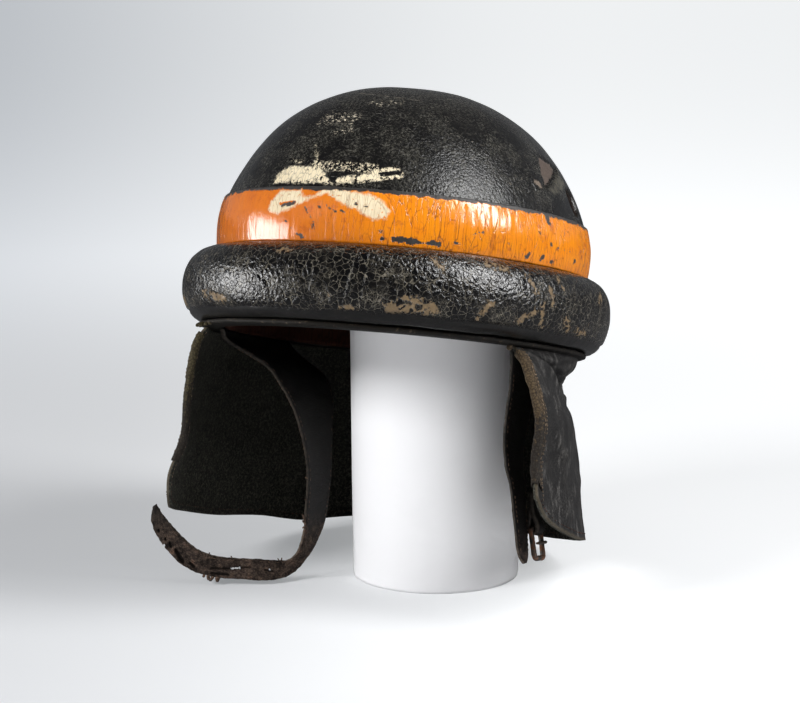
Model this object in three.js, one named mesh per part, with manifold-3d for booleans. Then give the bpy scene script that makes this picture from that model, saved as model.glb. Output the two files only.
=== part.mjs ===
// Worn leather motorcycle helmet of the basin type, standing open on a plain white card cylinder.
// Millimetres, +Z up, the helmet's face opening towards -Y. The origin is the centre of the cylinder's foot.
// Most pieces are drawn in the helmet's own frame: its origin is the centre of the rim, z runs up the crown.

import * as THREE from 'three';
import { mergeVertices } from 'three/addons/utils/BufferGeometryUtils.js';
import Module from 'manifold-3d';

// How the helmet sits on its cylinder
const tiltBack = 13.5;
const seatX = -20.3;
const seatY = -6;
const rimHeight = 132.8;

// Crown and the oval head plan: a ring is longer, front to back, than it is wide
const headLengthening = 18;
const crownBaseRadius = 106.4;
const crownHeight = 137.5;
const crownPower = 2.354;
const shellRadius = 98;
const shellWall = 5;
const ringSides = 56;
const fit = 0.3;

// Painted band, padded roll and the leather at the rim
const bandBottom = 40.2;
const bandTop = 68.5;
const bandBottomRadius = 100.6;
const bandTopRadius = 99.6;
const rollRadius = 116.2;
const rollHeight = 39.8;
const weltTop = -0.4;
const weltBottom = -3;
const weltInner = 93.3;
const weltOuter = 105;
const rimSway = -1.6;
const sweatbandTop = 27;
const sweatbandBottom = -2.6;
const sweatbandWall = 1.6;

// Neck curtain, its bound front edges and the straps
const curtainTop = weltBottom - fit;
const curtainRadius = 101;
const curtainWall = 2.4;
const bindingTurn = 1.8;
const bindingWall = 0.9;
const bindingGap = 0.6;
const strapWall = 2.2;

// Wire buckle at the end of the buckle strap: its middle, its size and how it is turned
const wireWidth = 2.4;
const buckleHeight = 19;
const buckleWidth = 14;
const buckleCorner = 3;
const prongWidth = 1.6;
const bucklePlace = { x: 94.1, y: -19, z: -104.8 };
const buckleTurn = { aboutX: 0, aboutY: -13, aboutZ: -7 };

// Ear vent through the right side of the crown
const ventRadius = 8;
const ventAngle = 3.5;
const ventHeight = 80;

// Cylinder under the helmet
const standFootRadius = 46.5;
const standTopRadius = 49;
const standHeight = 290;

// The curtain round the head, from the right front edge over the back to the left front edge.
// turn: degrees round the oval, 0 at the right, 90 at the back. The next seven columns say how far
// the leather stands out from curtainRadius at the heights in curtainHeights; drop is the hem's height.
const curtainHeights = { top: -3.3, collar: -9, waist: -18, belly: -40, skirt: -65, low: -85, hem: -104 };
const curtainRows = [
  { turn: -31, top: -1.5, collar: 6.5, waist: 13, belly: 23, skirt: 22.5, low: 26.5, hem: 28, drop: -80 },
  { turn: -28, top: -1.5, collar: 5.5, waist: 11.5, belly: 21.5, skirt: 20.5, low: 23.5, hem: 25.5, drop: -88 },
  { turn: -20, top: -1.5, collar: 3, waist: 6, belly: 15, skirt: 15.5, low: 18.5, hem: 21, drop: -95.5 },
  { turn: -6, top: -1.5, collar: -0.5, waist: -3.5, belly: 5.5, skirt: 8.5, low: 11.5, hem: 14.5, drop: -100.5 },
  { turn: 14, top: -2, collar: -3.5, waist: -10.5, belly: -3.5, skirt: 2, low: 6, hem: 10, drop: -102.5 },
  { turn: 32, top: -2, collar: -5, waist: -12, belly: -5.5, skirt: 1.5, low: 5.5, hem: 9.5, drop: -104 },
  { turn: 52, top: -1.5, collar: -3.5, waist: -7, belly: -1, skirt: 3.5, low: 6.5, hem: 8.5, drop: -105 },
  { turn: 78, top: -1, collar: -0.5, waist: 0, belly: 2, skirt: 4, low: 5, hem: 6, drop: -102 },
  { turn: 105, top: -0.5, collar: 0, waist: 0.5, belly: 2.5, skirt: 4, low: 5.5, hem: 7, drop: -99.5 },
  { turn: 125, top: 0, collar: 0.5, waist: 1, belly: 4, skirt: 6, low: 8, hem: 10, drop: -103.5 },
  { turn: 138, top: 0, collar: 1, waist: 1.5, belly: 4.5, skirt: 6.5, low: 9, hem: 11, drop: -107.5 },
  { turn: 153, top: 0, collar: 1.5, waist: 2.5, belly: 5.5, skirt: 7.5, low: 9.5, hem: 11.5, drop: -106.2 },
  { turn: 172, top: 0.5, collar: 2, waist: 4, belly: 7, skirt: 8.5, low: 10.5, hem: 12, drop: -107 },
  { turn: 187, top: 1, collar: 3, waist: 5.5, belly: 8, skirt: 9.5, low: 12, hem: 13, drop: -105.3 },
  { turn: 199, top: 2, collar: 4.5, waist: 7, belly: 8.5, skirt: 9.5, low: 13.5, hem: 14, drop: -103.5 },
  { turn: 207, top: 2.5, collar: 6, waist: 8.3, belly: 9.7, skirt: 10.2, low: 15.5, hem: 14.5, drop: -100.5 },
  { turn: 211, top: 2.5, collar: 6.3, waist: 8.6, belly: 10, skirt: 10.3, low: 16, hem: 14.5, drop: -95 },
];

// Chin strap on the left: a cheek piece as wide as a hand at the rim, which narrows to a 12 mm strap,
// turns to the front beside the floor and ends free. Each row is one cross-section: its front (upper)
// edge, its rear (lower) edge, and how far its middle bows outwards.
const chinStrapRows = [
  { frontX: -86.4, frontY: -48, frontZ: -3.4, rearX: -86.4, rearY: 48, rearZ: -3.4, bow: 8.8 },
  { frontX: -85.5, frontY: -40, frontZ: -10, rearX: -78.5, rearY: 42, rearZ: -10, bow: 6.5 },
  { frontX: -67.5, frontY: -26, frontZ: -21.5, rearX: -55, rearY: 31, rearZ: -23, bow: 3.5 },
  { frontX: -56.3, frontY: -22, frontZ: -35.7, rearX: -46.7, rearY: 25, rearZ: -35, bow: 2.5 },
  { frontX: -49.4, frontY: -20, frontZ: -48.5, rearX: -43.3, rearY: 19, rearZ: -47.5, bow: 2 },
  { frontX: -43.6, frontY: -19, frontZ: -64.6, rearX: -39.8, rearY: 12, rearZ: -63.5, bow: 1.5 },
  { frontX: -40.9, frontY: -18, frontZ: -80, rearX: -37, rearY: 7, rearZ: -79, bow: 1 },
  { frontX: -40.9, frontY: -17, frontZ: -97, rearX: -35.9, rearY: 3, rearZ: -95.5, bow: 0.7 },
  { frontX: -41.2, frontY: -16, frontZ: -109, rearX: -36.6, rearY: 0, rearZ: -108, bow: 0.4 },
  { frontX: -44.2, frontY: -14, frontZ: -120, rearX: -39.5, rearY: -4, rearZ: -119, bow: 0 },
  { frontX: -48.5, frontY: -12.5, frontZ: -125.5, rearX: -45, rearY: -6.5, rearZ: -129.5, bow: 0 },
  { frontX: -52.5, frontY: -14, frontZ: -127.3, rearX: -49.5, rearY: -11, rearZ: -135.5, bow: 0 },
  { frontX: -57.5, frontY: -17, frontZ: -127.7, rearX: -54.5, rearY: -16.5, rearZ: -138.2, bow: 0 },
  { frontX: -64, frontY: -21, frontZ: -127.8, rearX: -61, rearY: -21.5, rearZ: -139.2, bow: 0.4 },
  { frontX: -73, frontY: -25.4, frontZ: -127.8, rearX: -70.5, rearY: -25.3, rearZ: -139.5, bow: 0.6 },
  { frontX: -82, frontY: -29.9, frontZ: -127.7, rearX: -81.7, rearY: -28.5, rearZ: -139.6, bow: 0.8 },
  { frontX: -89, frontY: -33.8, frontZ: -126.5, rearX: -92.5, rearY: -32.8, rearZ: -138, bow: 0.8 },
  { frontX: -96.5, frontY: -38.6, frontZ: -122.5, rearX: -101.9, rearY: -37.9, rearZ: -133.7, bow: 0.6 },
  { frontX: -103, frontY: -43.5, frontZ: -116, rearX: -109, rearY: -43, rearZ: -126.5, bow: 0.5 },
  { frontX: -108.3, frontY: -48.2, frontZ: -109.5, rearX: -114.2, rearY: -48.3, rearZ: -118, bow: 0.4 },
  { frontX: -111.5, frontY: -51.5, frontZ: -104.5, rearX: -116.3, rearY: -51.8, rearZ: -110, bow: 0.2 },
  { frontX: -113, frontY: -53.3, frontZ: -101.2, rearX: -115, rearY: -53.5, rearZ: -102.8, bow: 0 },
];

// Buckle strap on the right: the same cheek piece hanging plumb, cut off short in a round tab.
const buckleStrapRows = [
  { frontX: 81.5, frontY: -57, frontZ: -3.4, rearX: 91, rearY: 21, rearZ: -3.4, bow: -5.8 },
  { frontX: 82.2, frontY: -55.5, frontZ: -10, rearX: 87, rearY: 12, rearZ: -11, bow: -4.5 },
  { frontX: 81.5, frontY: -52.5, frontZ: -23, rearX: 81, rearY: -2, rearZ: -25, bow: -3 },
  { frontX: 79.3, frontY: -48.5, frontZ: -38, rearX: 79.5, rearY: -9, rearZ: -40, bow: -2.5 },
  { frontX: 78.2, frontY: -45, frontZ: -52, rearX: 79.5, rearY: -14, rearZ: -54, bow: -2 },
  { frontX: 79.2, frontY: -42, frontZ: -65, rearX: 81, rearY: -17, rearZ: -66, bow: -1.5 },
  { frontX: 82.4, frontY: -40, frontZ: -77, rearX: 84, rearY: -20.5, rearZ: -78, bow: -1 },
  { frontX: 85.2, frontY: -38.5, frontZ: -94, rearX: 87, rearY: -23.5, rearZ: -94, bow: -0.6 },
  { frontX: 87.6, frontY: -36.5, frontZ: -109, rearX: 89.3, rearY: -24, rearZ: -109, bow: -0.4 },
  { frontX: 89, frontY: -34, frontZ: -114, rearX: 90, rearY: -26, rearZ: -114.2, bow: -0.2 },
  { frontX: 90, frontY: -31.5, frontZ: -116, rearX: 90.4, rearY: -28.5, rearZ: -116.1, bow: 0 },
];

const colours = {
  lacquer: { color: 0x15151a, roughness: 0.38 },
  paint: { color: 0xd9741c, roughness: 0.42 },
  roll: { color: 0x1d1b1a, roughness: 0.45 },
  blackLeather: { color: 0x232121, roughness: 0.8 },
  edgeLeather: { color: 0x5a4c37, roughness: 0.85 },
  strapLeather: { color: 0x3a322d, roughness: 0.85 },
  liner: { color: 0x3a1d14, roughness: 0.8 },
  rustyWire: { color: 0x4a3327, roughness: 0.6, metalness: 0.8 },
  card: { color: 0xeeeef0, roughness: 0.75 },
};

function makeMesh(name, geometry, finish) {
  const material = new THREE.MeshStandardMaterial({ metalness: 0, ...colours[finish] });
  const mesh = new THREE.Mesh(geometry, material);
  mesh.name = name;
  return mesh;
}

// Any ring of the head is an oval: its half length exceeds its half width by headLengthening,
// and in the dome, inside shellRadius, in proportion.
function halfLength(halfWidth) {
  return halfWidth + headLengthening * Math.min(1, halfWidth / shellRadius);
}

function ovalPoint(halfWidth, degrees, height) {
  const angle = THREE.MathUtils.degToRad(degrees);
  return new THREE.Vector3(halfWidth * Math.cos(angle), halfLength(halfWidth) * Math.sin(angle), height);
}

// Turns a profile of [half width, height] pairs into an oval ring or dome with z up. What stands
// outside the shell may sway to one side, as the worn roll does.
function ovalLathe(profile, sway = 0) {
  const points = profile.map(([radius, height]) => new THREE.Vector2(radius, height));
  const geometry = new THREE.LatheGeometry(points, ringSides);
  geometry.rotateX(Math.PI / 2);
  const position = geometry.attributes.position;
  for (let i = 0; i < position.count; i += 1) {
    const radius = Math.hypot(position.getX(i), position.getY(i));
    if (radius > 1e-6) position.setY(i, position.getY(i) * halfLength(radius) / radius);
    const outside = Math.max(0, radius - shellRadius - fit) / (rollRadius - shellRadius - fit);
    position.setX(i, position.getX(i) + sway * outside);
  }
  return closed(geometry);
}

// Merges the vertices that faces share, so that a shape is one closed body facing outwards.
function closed(geometry) {
  geometry.deleteAttribute('uv');
  geometry.deleteAttribute('normal');
  const merged = mergeVertices(geometry, 1e-4);
  const position = merged.attributes.position;
  const faces = [];
  let sixVolumes = 0;
  const corner = [new THREE.Vector3(), new THREE.Vector3(), new THREE.Vector3()];
  for (let i = 0; i < merged.index.count; i += 3) {
    const ids = [0, 1, 2].map((k) => merged.index.getX(i + k));
    if (new Set(ids).size < 3) continue;
    ids.forEach((id, k) => corner[k].fromBufferAttribute(position, id));
    sixVolumes += corner[0].dot(corner[1].clone().cross(corner[2]));
    faces.push(ids);
  }
  const outward = sixVolumes < 0 ? faces.map(([a, b, c]) => [a, c, b]) : faces;
  merged.setIndex(outward.flat());
  return merged;
}

// A sheet with real thickness. faceA and faceB are grids of points, row by row, on its two sides.
function sheetBetween(faceA, faceB) {
  const rows = faceA.length;
  const columns = faceA[0].length;
  const index = (side, row, column) => (side * rows + row) * columns + column;
  const quads = [];
  for (let row = 0; row < rows - 1; row += 1) {
    for (let column = 0; column < columns - 1; column += 1) {
      quads.push([index(0, row, column), index(0, row + 1, column),
        index(0, row + 1, column + 1), index(0, row, column + 1)]);
      quads.push([index(1, row, column), index(1, row, column + 1),
        index(1, row + 1, column + 1), index(1, row + 1, column)]);
    }
  }
  const rim = [];
  for (let column = 0; column < columns - 1; column += 1) rim.push([0, column]);
  for (let row = 0; row < rows - 1; row += 1) rim.push([row, columns - 1]);
  for (let column = columns - 1; column > 0; column -= 1) rim.push([rows - 1, column]);
  for (let row = rows - 1; row > 0; row -= 1) rim.push([row, 0]);
  rim.forEach(([row, column], i) => {
    const [nextRow, nextColumn] = rim[(i + 1) % rim.length];
    quads.push([index(0, row, column), index(0, nextRow, nextColumn),
      index(1, nextRow, nextColumn), index(1, row, column)]);
  });
  const geometry = new THREE.BufferGeometry();
  const coordinates = [...faceA.flat(), ...faceB.flat()].flatMap((point) => point.toArray());
  geometry.setAttribute('position', new THREE.Float32BufferAttribute(coordinates, 3));
  geometry.setIndex(quads.flatMap(([a, b, c, d]) => [a, b, c, a, c, d]));
  return closed(geometry);
}

// Normals of a grid of points, from its neighbours along the rows and columns.
function gridNormals(grid) {
  const last = grid.length - 1;
  return grid.map((row, i) => row.map((point, j) => {
    const along = grid[Math.min(i + 1, last)][j].clone().sub(grid[Math.max(i - 1, 0)][j]);
    const across = row[Math.min(j + 1, row.length - 1)].clone().sub(row[Math.max(j - 1, 0)]);
    return along.cross(across).normalize();
  }));
}

function offsetGrid(grid, normals, distance) {
  return grid.map((row, i) => row.map((point, j) => point.clone().addScaledVector(normals[i][j], distance)));
}

// Reads a table smoothly between its rows: key is the column that orders it.
function tableReader(rows, key, columns) {
  const places = rows.map((row) => row[key]);
  const values = rows.flatMap((row) => columns.map((column) => row[column]));
  const reader = new THREE.CubicInterpolant(places, values, columns.length);
  return (place) => Array.from(reader.evaluate(place));
}

// Crown: a hollow dome of stiff lacquered leather, straight below the painted band's top.
function domeRadius(height, inset) {
  const reach = 1 - (height / (crownHeight - inset)) ** crownPower;
  return Math.min((crownBaseRadius - inset) * reach ** (1 / crownPower), shellRadius - inset);
}

function domeProfile(inset, bottom, steps) {
  const shoulder = crownHeight * (1 - (shellRadius / crownBaseRadius) ** crownPower) ** (1 / crownPower);
  const shoulderAngle = Math.asin((shoulder / crownHeight) ** (crownPower / 2));
  const profile = [[0, crownHeight - inset]];
  for (let step = 1; step <= steps; step += 1) {
    const angle = THREE.MathUtils.lerp(Math.PI / 2, shoulderAngle, step / steps);
    const height = (crownHeight - inset) * Math.sin(angle) ** (2 / crownPower);
    profile.push([domeRadius(height, inset), height]);
  }
  profile.push([shellRadius - inset, bottom]);
  return profile;
}

function makeCrownShell() {
  const outside = domeProfile(0, 0, 12);
  const inside = domeProfile(shellWall, 0, 9).reverse();
  return ovalLathe([...outside, ...inside]);
}

function makeBand() {
  const edgeDrop = 2.4;
  return ovalLathe([
    [shellRadius + fit, bandBottom],
    [bandBottomRadius, bandBottom],
    [(bandBottomRadius + bandTopRadius) / 2, (bandBottom + bandTop) / 2],
    [bandTopRadius, bandTop - edgeDrop],
    [bandTopRadius - 1.1, bandTop],
    [shellRadius - 0.2, bandTop],
    [shellRadius + fit, bandTop - edgeDrop],
    [shellRadius + fit, bandBottom],
  ]);
}

function makeRoll() {
  const wall = shellRadius + fit;
  const bulge = rollRadius - wall;
  const section = [
    [0, 0.012], [0, 0.965], [0.13, 1], [0.32, 0.99], [0.58, 0.94], [0.82, 0.83], [0.96, 0.67],
    [1, 0.49], [0.94, 0.29], [0.78, 0.12], [0.56, 0.02], [0.28, 0], [0, 0.012],
  ];
  return ovalLathe(section.map(([out, up]) => [wall + out * bulge, up * rollHeight]), rimSway);
}

function makeWelt() {
  return ovalLathe([
    [weltInner, weltTop],
    [weltOuter - 0.6, weltTop],
    [weltOuter, (weltTop + weltBottom) / 2],
    [weltOuter - 1.2, weltBottom],
    [weltInner, weltBottom],
    [weltInner, weltTop],
  ], 3 * rimSway);
}

function makeSweatband() {
  const outside = shellRadius - shellWall - fit;
  return ovalLathe([
    [outside, sweatbandBottom],
    [outside, sweatbandTop],
    [outside - sweatbandWall, sweatbandTop],
    [outside - sweatbandWall, sweatbandBottom],
    [outside, sweatbandBottom],
  ]);
}

// Curtain: one skirt of leather from the rim down, open at the face.
const curtainColumns = Object.keys(curtainHeights);
const readCurtainRow = tableReader(curtainRows, 'turn', [...curtainColumns, 'drop']);
const firstTurn = curtainRows[0].turn;
const lastTurn = curtainRows[curtainRows.length - 1].turn;

function curtainPoint(turn, depth) {
  const values = readCurtainRow(turn);
  const drop = values.pop();
  const height = THREE.MathUtils.lerp(curtainTop, drop, depth);
  const profile = curtainColumns.map((column, i) => ({ down: -curtainHeights[column], out: values[i] }));
  const [standOut] = tableReader(profile, 'down', ['out'])(Math.min(-height, -curtainHeights.hem));
  return ovalPoint(curtainRadius + standOut, turn, height);
}

const curtainSpans = 46;
const curtainDepths = [0, 0.03, 0.065, 0.105, 0.155, 0.23, 0.34, 0.46, 0.58, 0.7, 0.8, 0.9, 1];

// The first and last columns are as wide as the bindings; the others crowd towards the front edges.
function curtainTurn(span) {
  if (span === 0) return firstTurn;
  if (span === curtainSpans) return lastTurn;
  const share = (span - 1) / (curtainSpans - 2);
  const crowding = 0.08;
  const eased = share - crowding * Math.sin(2 * Math.PI * share);
  return THREE.MathUtils.lerp(firstTurn + bindingTurn, lastTurn - bindingTurn, eased);
}

// Unit vector into the head at a place on the curtain; level along its top edge.
function curtainInward(turn, depth) {
  const step = 0.01;
  const before = curtainPoint(Math.max(turn - 100 * step, firstTurn), depth);
  const after = curtainPoint(Math.min(turn + 100 * step, lastTurn), depth);
  const above = curtainPoint(turn, Math.max(depth - step, 0));
  const below = curtainPoint(turn, Math.min(depth + step, 1));
  const inward = after.sub(before).cross(below.sub(above));
  if (depth === 0) inward.setZ(0);
  return inward.normalize();
}

function makeCurtain() {
  const turns = Array.from({ length: curtainSpans + 1 }, (_, span) => curtainTurn(span));
  const outside = turns.map((turn) => curtainDepths.map((depth) => curtainPoint(turn, depth)));
  const inside = outside.map((row, i) => row.map((point, j) => (
    point.clone().addScaledVector(curtainInward(turns[i], curtainDepths[j]), curtainWall))));
  return sheetBetween(outside, inside);
}

// Folded strip that binds one front edge of the curtain from just under the rim down to the depth lowest.
function makeBinding(edgeTurn, nextTurn, lowest) {
  const depths = curtainDepths.filter((depth) => depth > 0 && depth <= lowest);
  const fold = (clearance) => depths.map((depth) => {
    const [edge, next] = [edgeTurn, nextTurn].map((turn) => curtainPoint(turn, depth));
    const [edgeInward, nextInward] = [edgeTurn, nextTurn].map((turn) => curtainInward(turn, depth));
    const ahead = edge.clone().sub(next).normalize().multiplyScalar(clearance);
    const within = curtainWall + clearance;
    return [
      next.clone().addScaledVector(nextInward, -clearance),
      edge.clone().add(ahead).addScaledVector(edgeInward, -clearance),
      edge.clone().add(ahead).addScaledVector(edgeInward, within),
      next.clone().addScaledVector(nextInward, within),
    ];
  });
  return sheetBetween(fold(bindingGap), fold(bindingGap + bindingWall));
}

// A strap drawn from its table of cross-sections, with its thickness on the outer side.
function makeStrap(rows, samples) {
  const columns = 4;
  const names = ['frontX', 'frontY', 'frontZ', 'rearX', 'rearY', 'rearZ', 'bow'];
  const numbered = rows.map((row, place) => ({ ...row, place }));
  const read = tableReader(numbered, 'place', names);
  const grid = [];
  for (let i = 0; i <= samples; i += 1) {
    const values = read((rows.length - 1) * i / samples);
    const front = new THREE.Vector3(...values.slice(0, 3));
    const rear = new THREE.Vector3(...values.slice(3, 6));
    const row = [];
    for (let j = 0; j <= columns; j += 1) {
      const share = j / columns;
      const point = front.clone().lerp(rear, share);
      point.x -= values[6] * 4 * share * (1 - share);
      row.push(point);
    }
    grid.push(row);
  }
  const normals = gridNormals(grid);
  normals[0].forEach((normal) => normal.setZ(0).normalize());
  return sheetBetween(grid, offsetGrid(grid, normals, strapWall));
}

// Wire frame with rounded corners, flat against the strap's outer face, and its prong lying across it.
function roundedFrame(width, height, corner) {
  const [x, y] = [width / 2, height / 2];
  const outline = new THREE.Path();
  outline.moveTo(-x + corner, -y);
  outline.lineTo(x - corner, -y);
  outline.absarc(x - corner, -y + corner, corner, -Math.PI / 2, 0);
  outline.absarc(x - corner, y - corner, corner, 0, Math.PI / 2);
  outline.absarc(-x + corner, y - corner, corner, Math.PI / 2, Math.PI);
  outline.absarc(-x + corner, -y + corner, corner, Math.PI, 1.5 * Math.PI);
  return outline;
}

function placeBuckle(geometry) {
  const turn = new THREE.Euler(...Object.values(buckleTurn).map(THREE.MathUtils.degToRad));
  geometry.rotateY(Math.PI / 2);
  geometry.applyQuaternion(new THREE.Quaternion().setFromEuler(turn));
  geometry.translate(bucklePlace.x, bucklePlace.y, bucklePlace.z);
  return geometry;
}

function makeBuckleFrame() {
  const outline = new THREE.Shape(roundedFrame(buckleHeight, buckleWidth, buckleCorner).getPoints(4));
  const innerHeight = buckleHeight - 2 * wireWidth;
  const innerWidth = buckleWidth - 2 * wireWidth;
  outline.holes.push(roundedFrame(innerHeight, innerWidth, buckleCorner - wireWidth / 2));
  const flat = { depth: wireWidth, bevelEnabled: false, curveSegments: 4 };
  const geometry = new THREE.ExtrudeGeometry(outline, flat);
  geometry.translate(0, 0, -wireWidth / 2);
  return placeBuckle(closed(geometry));
}

function makeProng() {
  const prong = new THREE.BoxGeometry(prongWidth, buckleWidth - 2 * (wireWidth + fit), prongWidth);
  return placeBuckle(closed(prong));
}

const helmet = new THREE.Group();
helmet.position.set(seatX, seatY, rimHeight);
helmet.rotation.x = THREE.MathUtils.degToRad(-tiltBack);
helmet.updateMatrixWorld();

const wasm = await Module();
wasm.setup();

function toSolid(geometry) {
  return new wasm.Manifold(new wasm.Mesh({
    numProp: 3,
    vertProperties: Float32Array.from(geometry.attributes.position.array),
    triVerts: Uint32Array.from(geometry.index.array),
  }));
}

function fromSolid(solid) {
  const mesh = solid.getMesh();
  const geometry = new THREE.BufferGeometry();
  geometry.setAttribute('position', new THREE.BufferAttribute(mesh.vertProperties, 3));
  geometry.setIndex(new THREE.BufferAttribute(mesh.triVerts, 1));
  return geometry;
}

function makeCrown() {
  const place = ovalPoint(domeRadius(ventHeight, 0), ventAngle, ventHeight);
  const outward = new THREE.Vector3(place.x, place.y * 0.75, 24).normalize();
  const drill = new THREE.CylinderGeometry(ventRadius, ventRadius, 30, 20);
  drill.applyQuaternion(new THREE.Quaternion().setFromUnitVectors(new THREE.Vector3(0, 1, 0), outward));
  drill.translate(place.x, place.y, place.z);
  return fromSolid(toSolid(makeCrownShell()).subtract(toSolid(closed(drill))));
}

// The cylinder reaches up inside the crown and is cut to the crown's inner form, a fit's gap below it.
function makeStand() {
  const cylinder = new THREE.CylinderGeometry(standTopRadius, standFootRadius, standHeight, 48);
  cylinder.rotateX(Math.PI / 2);
  cylinder.translate(0, 0, standHeight / 2);
  const bottom = -1.3 * rimHeight;
  const hollow = ovalLathe([...domeProfile(shellWall + fit, bottom, 9), [0, bottom]]);
  hollow.applyMatrix4(helmet.matrixWorld);
  return fromSolid(toSolid(closed(cylinder)).intersect(toSolid(hollow)));
}

helmet.add(
  makeMesh('crown', makeCrown(), 'lacquer'),
  makeMesh('painted_band', makeBand(), 'paint'),
  makeMesh('brim_roll', makeRoll(), 'roll'),
  makeMesh('rim_welt', makeWelt(), 'blackLeather'),
  makeMesh('sweatband', makeSweatband(), 'liner'),
  makeMesh('neck_curtain', makeCurtain(), 'blackLeather'),
  makeMesh('edge_binding_right', makeBinding(firstTurn, firstTurn + bindingTurn, 0.9), 'edgeLeather'),
  makeMesh('edge_binding_left', makeBinding(lastTurn, lastTurn - bindingTurn, 0.8), 'edgeLeather'),
  makeMesh('chin_strap', makeStrap(chinStrapRows, 46), 'strapLeather'),
  makeMesh('buckle_strap', makeStrap(buckleStrapRows, 20), 'strapLeather'),
  makeMesh('buckle_frame', makeBuckleFrame(), 'rustyWire'),
  makeMesh('buckle_prong', makeProng(), 'rustyWire'),
);

const part = new THREE.Group();
part.add(helmet, makeMesh('stand', makeStand(), 'card'));

export default part;
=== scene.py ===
import math

import bmesh
import bpy
import numpy as np
from mathutils import Matrix, Vector, noise


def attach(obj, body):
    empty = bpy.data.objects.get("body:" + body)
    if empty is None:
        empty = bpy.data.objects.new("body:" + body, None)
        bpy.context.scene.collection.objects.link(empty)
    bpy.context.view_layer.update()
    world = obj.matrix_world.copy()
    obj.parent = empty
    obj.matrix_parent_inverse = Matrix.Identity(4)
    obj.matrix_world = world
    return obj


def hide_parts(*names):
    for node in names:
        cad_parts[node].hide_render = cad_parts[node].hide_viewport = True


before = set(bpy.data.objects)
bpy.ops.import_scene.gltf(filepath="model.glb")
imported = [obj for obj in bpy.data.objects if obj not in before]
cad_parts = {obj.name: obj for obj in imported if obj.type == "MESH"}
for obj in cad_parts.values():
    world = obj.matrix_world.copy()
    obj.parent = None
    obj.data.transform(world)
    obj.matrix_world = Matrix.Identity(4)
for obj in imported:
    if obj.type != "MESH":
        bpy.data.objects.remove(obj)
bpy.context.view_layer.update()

# Shapes are worked out in millimetres in the helmet's own frame: x right, y back, z up the crown,
# from the centre of the rim. seatHelmet() puts them on the cylinder, in metres.
mm = 0.001


print("stage: camera")
camera = {
    "place": (0.394836, -1.143404, 0.339105),
    "pitch": 80,
    "turn": 20,
    "lens": 99.63,
    "sensor": 36,
    "clip": (0.05, 100),
}


def addObject(name, data):
    made = bpy.data.objects.new(name, data)
    bpy.context.scene.collection.objects.link(made)
    return made


def makeCamera():
    rig = addObject("photoCamera", bpy.data.cameras.new("photoCamera"))
    rig.data.lens, rig.data.sensor_width = camera["lens"], camera["sensor"]
    rig.data.clip_start, rig.data.clip_end = camera["clip"]
    rig.location = camera["place"]
    rig.rotation_euler = (math.radians(camera["pitch"]), 0, math.radians(camera["turn"]))
    bpy.context.scene.camera = rig


makeCamera()


print("stage: shape helpers")
helmet = {
    "tiltBack": 13.5,
    "seat": (-20.3, -6, 132.8),
    "lengthening": 18,  # a ring is this much longer than wide, at each end
    "shellRadius": 98,
    "shellWall": 5,
    "crownBase": 106.4,
    "crownHeight": 137.5,
    "crownPower": 2.354,
    "rollRadius": 116.2,
    "fit": 0.3,
    "rimSway": -1.6,  # the roll and the welt lean this far to the left
    "unrollRadius": 107,
}
fieldReach = 9.0  # distances to an outline are kept up to here, in millimetres


def seatHelmet(points):
    tilt = math.radians(helmet["tiltBack"])
    x, y, z = np.moveaxis(np.asarray(points, float), -1, 0)
    back = y * math.cos(tilt) + z * math.sin(tilt)
    up = z * math.cos(tilt) - y * math.sin(tilt)
    return (np.stack([x, back, up], -1) + helmet["seat"]) * mm


def ovalPoints(halfWidth, degrees, height):
    halfWidth, degrees, height = np.broadcast_arrays(halfWidth, degrees, height)
    halfLength = halfWidth + helmet["lengthening"] * np.minimum(1, halfWidth / helmet["shellRadius"])
    angle = np.radians(degrees)
    return np.stack([halfWidth * np.cos(angle), halfLength * np.sin(angle), height], -1)


def readTable(places, values, at):
    # a smooth curve through a table's rows: the slope in a row is the mean of the slopes beside it
    places, values = np.asarray(places, float), np.asarray(values, float)
    secants = np.diff(values, axis=0) / np.diff(places)[:, None]
    slopes = np.concatenate([secants[:1], (secants[1:] + secants[:-1]) / 2, secants[-1:]])
    at = np.clip(at, places[0], places[-1])
    i = np.clip(np.searchsorted(places, at, "right") - 1, 0, len(places) - 2)
    span = (places[i + 1] - places[i])[:, None]
    t = (at[:, None] - places[i][:, None]) / span
    blend = t * t * (3 - 2 * t)
    ease = values[i] * (1 - blend) + values[i + 1] * blend
    return ease + span * (slopes[i] * t * (1 - t) ** 2 - slopes[i + 1] * t * t * (1 - t))


def ripple(points, size, seed=0):
    # smooth noise from -1 to 1; size is in the points' units, one number or one for each axis
    spots = points.reshape(-1, 3) / np.asarray(size) + seed
    return np.array([noise.noise(spot) for spot in spots.tolist()]).reshape(points.shape[:-1])


def ripples(points, rows):
    # noises added up; a row is height, size and seed
    return sum(high * ripple(points, size, seed) for high, size, seed in rows)


def bell(distance, width):
    return np.exp(-((distance / width) ** 2))


def within(distance, softness, full=1):
    # full inside an outline and 0 outside it
    return full / (1 + np.exp(distance / softness))


def unit(vectors):
    return vectors / np.maximum(np.linalg.norm(vectors, axis=-1, keepdims=True), 1e-12)


def gridNormals(grid, ring=False):
    across = np.roll(grid, -1, 1) - np.roll(grid, 1, 1) if ring else np.gradient(grid, axis=1)
    return unit(np.cross(np.gradient(grid, axis=0), across))


def facing(normals, way):
    # the same normals, turned round where they point against way
    return normals * np.sign((normals * way).sum(-1, keepdims=True))


def ringGrid(section, columns):
    # a section, rows of radius and height, carried round the helmet
    turns = np.linspace(0, 360, columns, endpoint=False)
    return ovalPoints(section[:, :1], turns[None, :], section[:, 1:])


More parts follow.
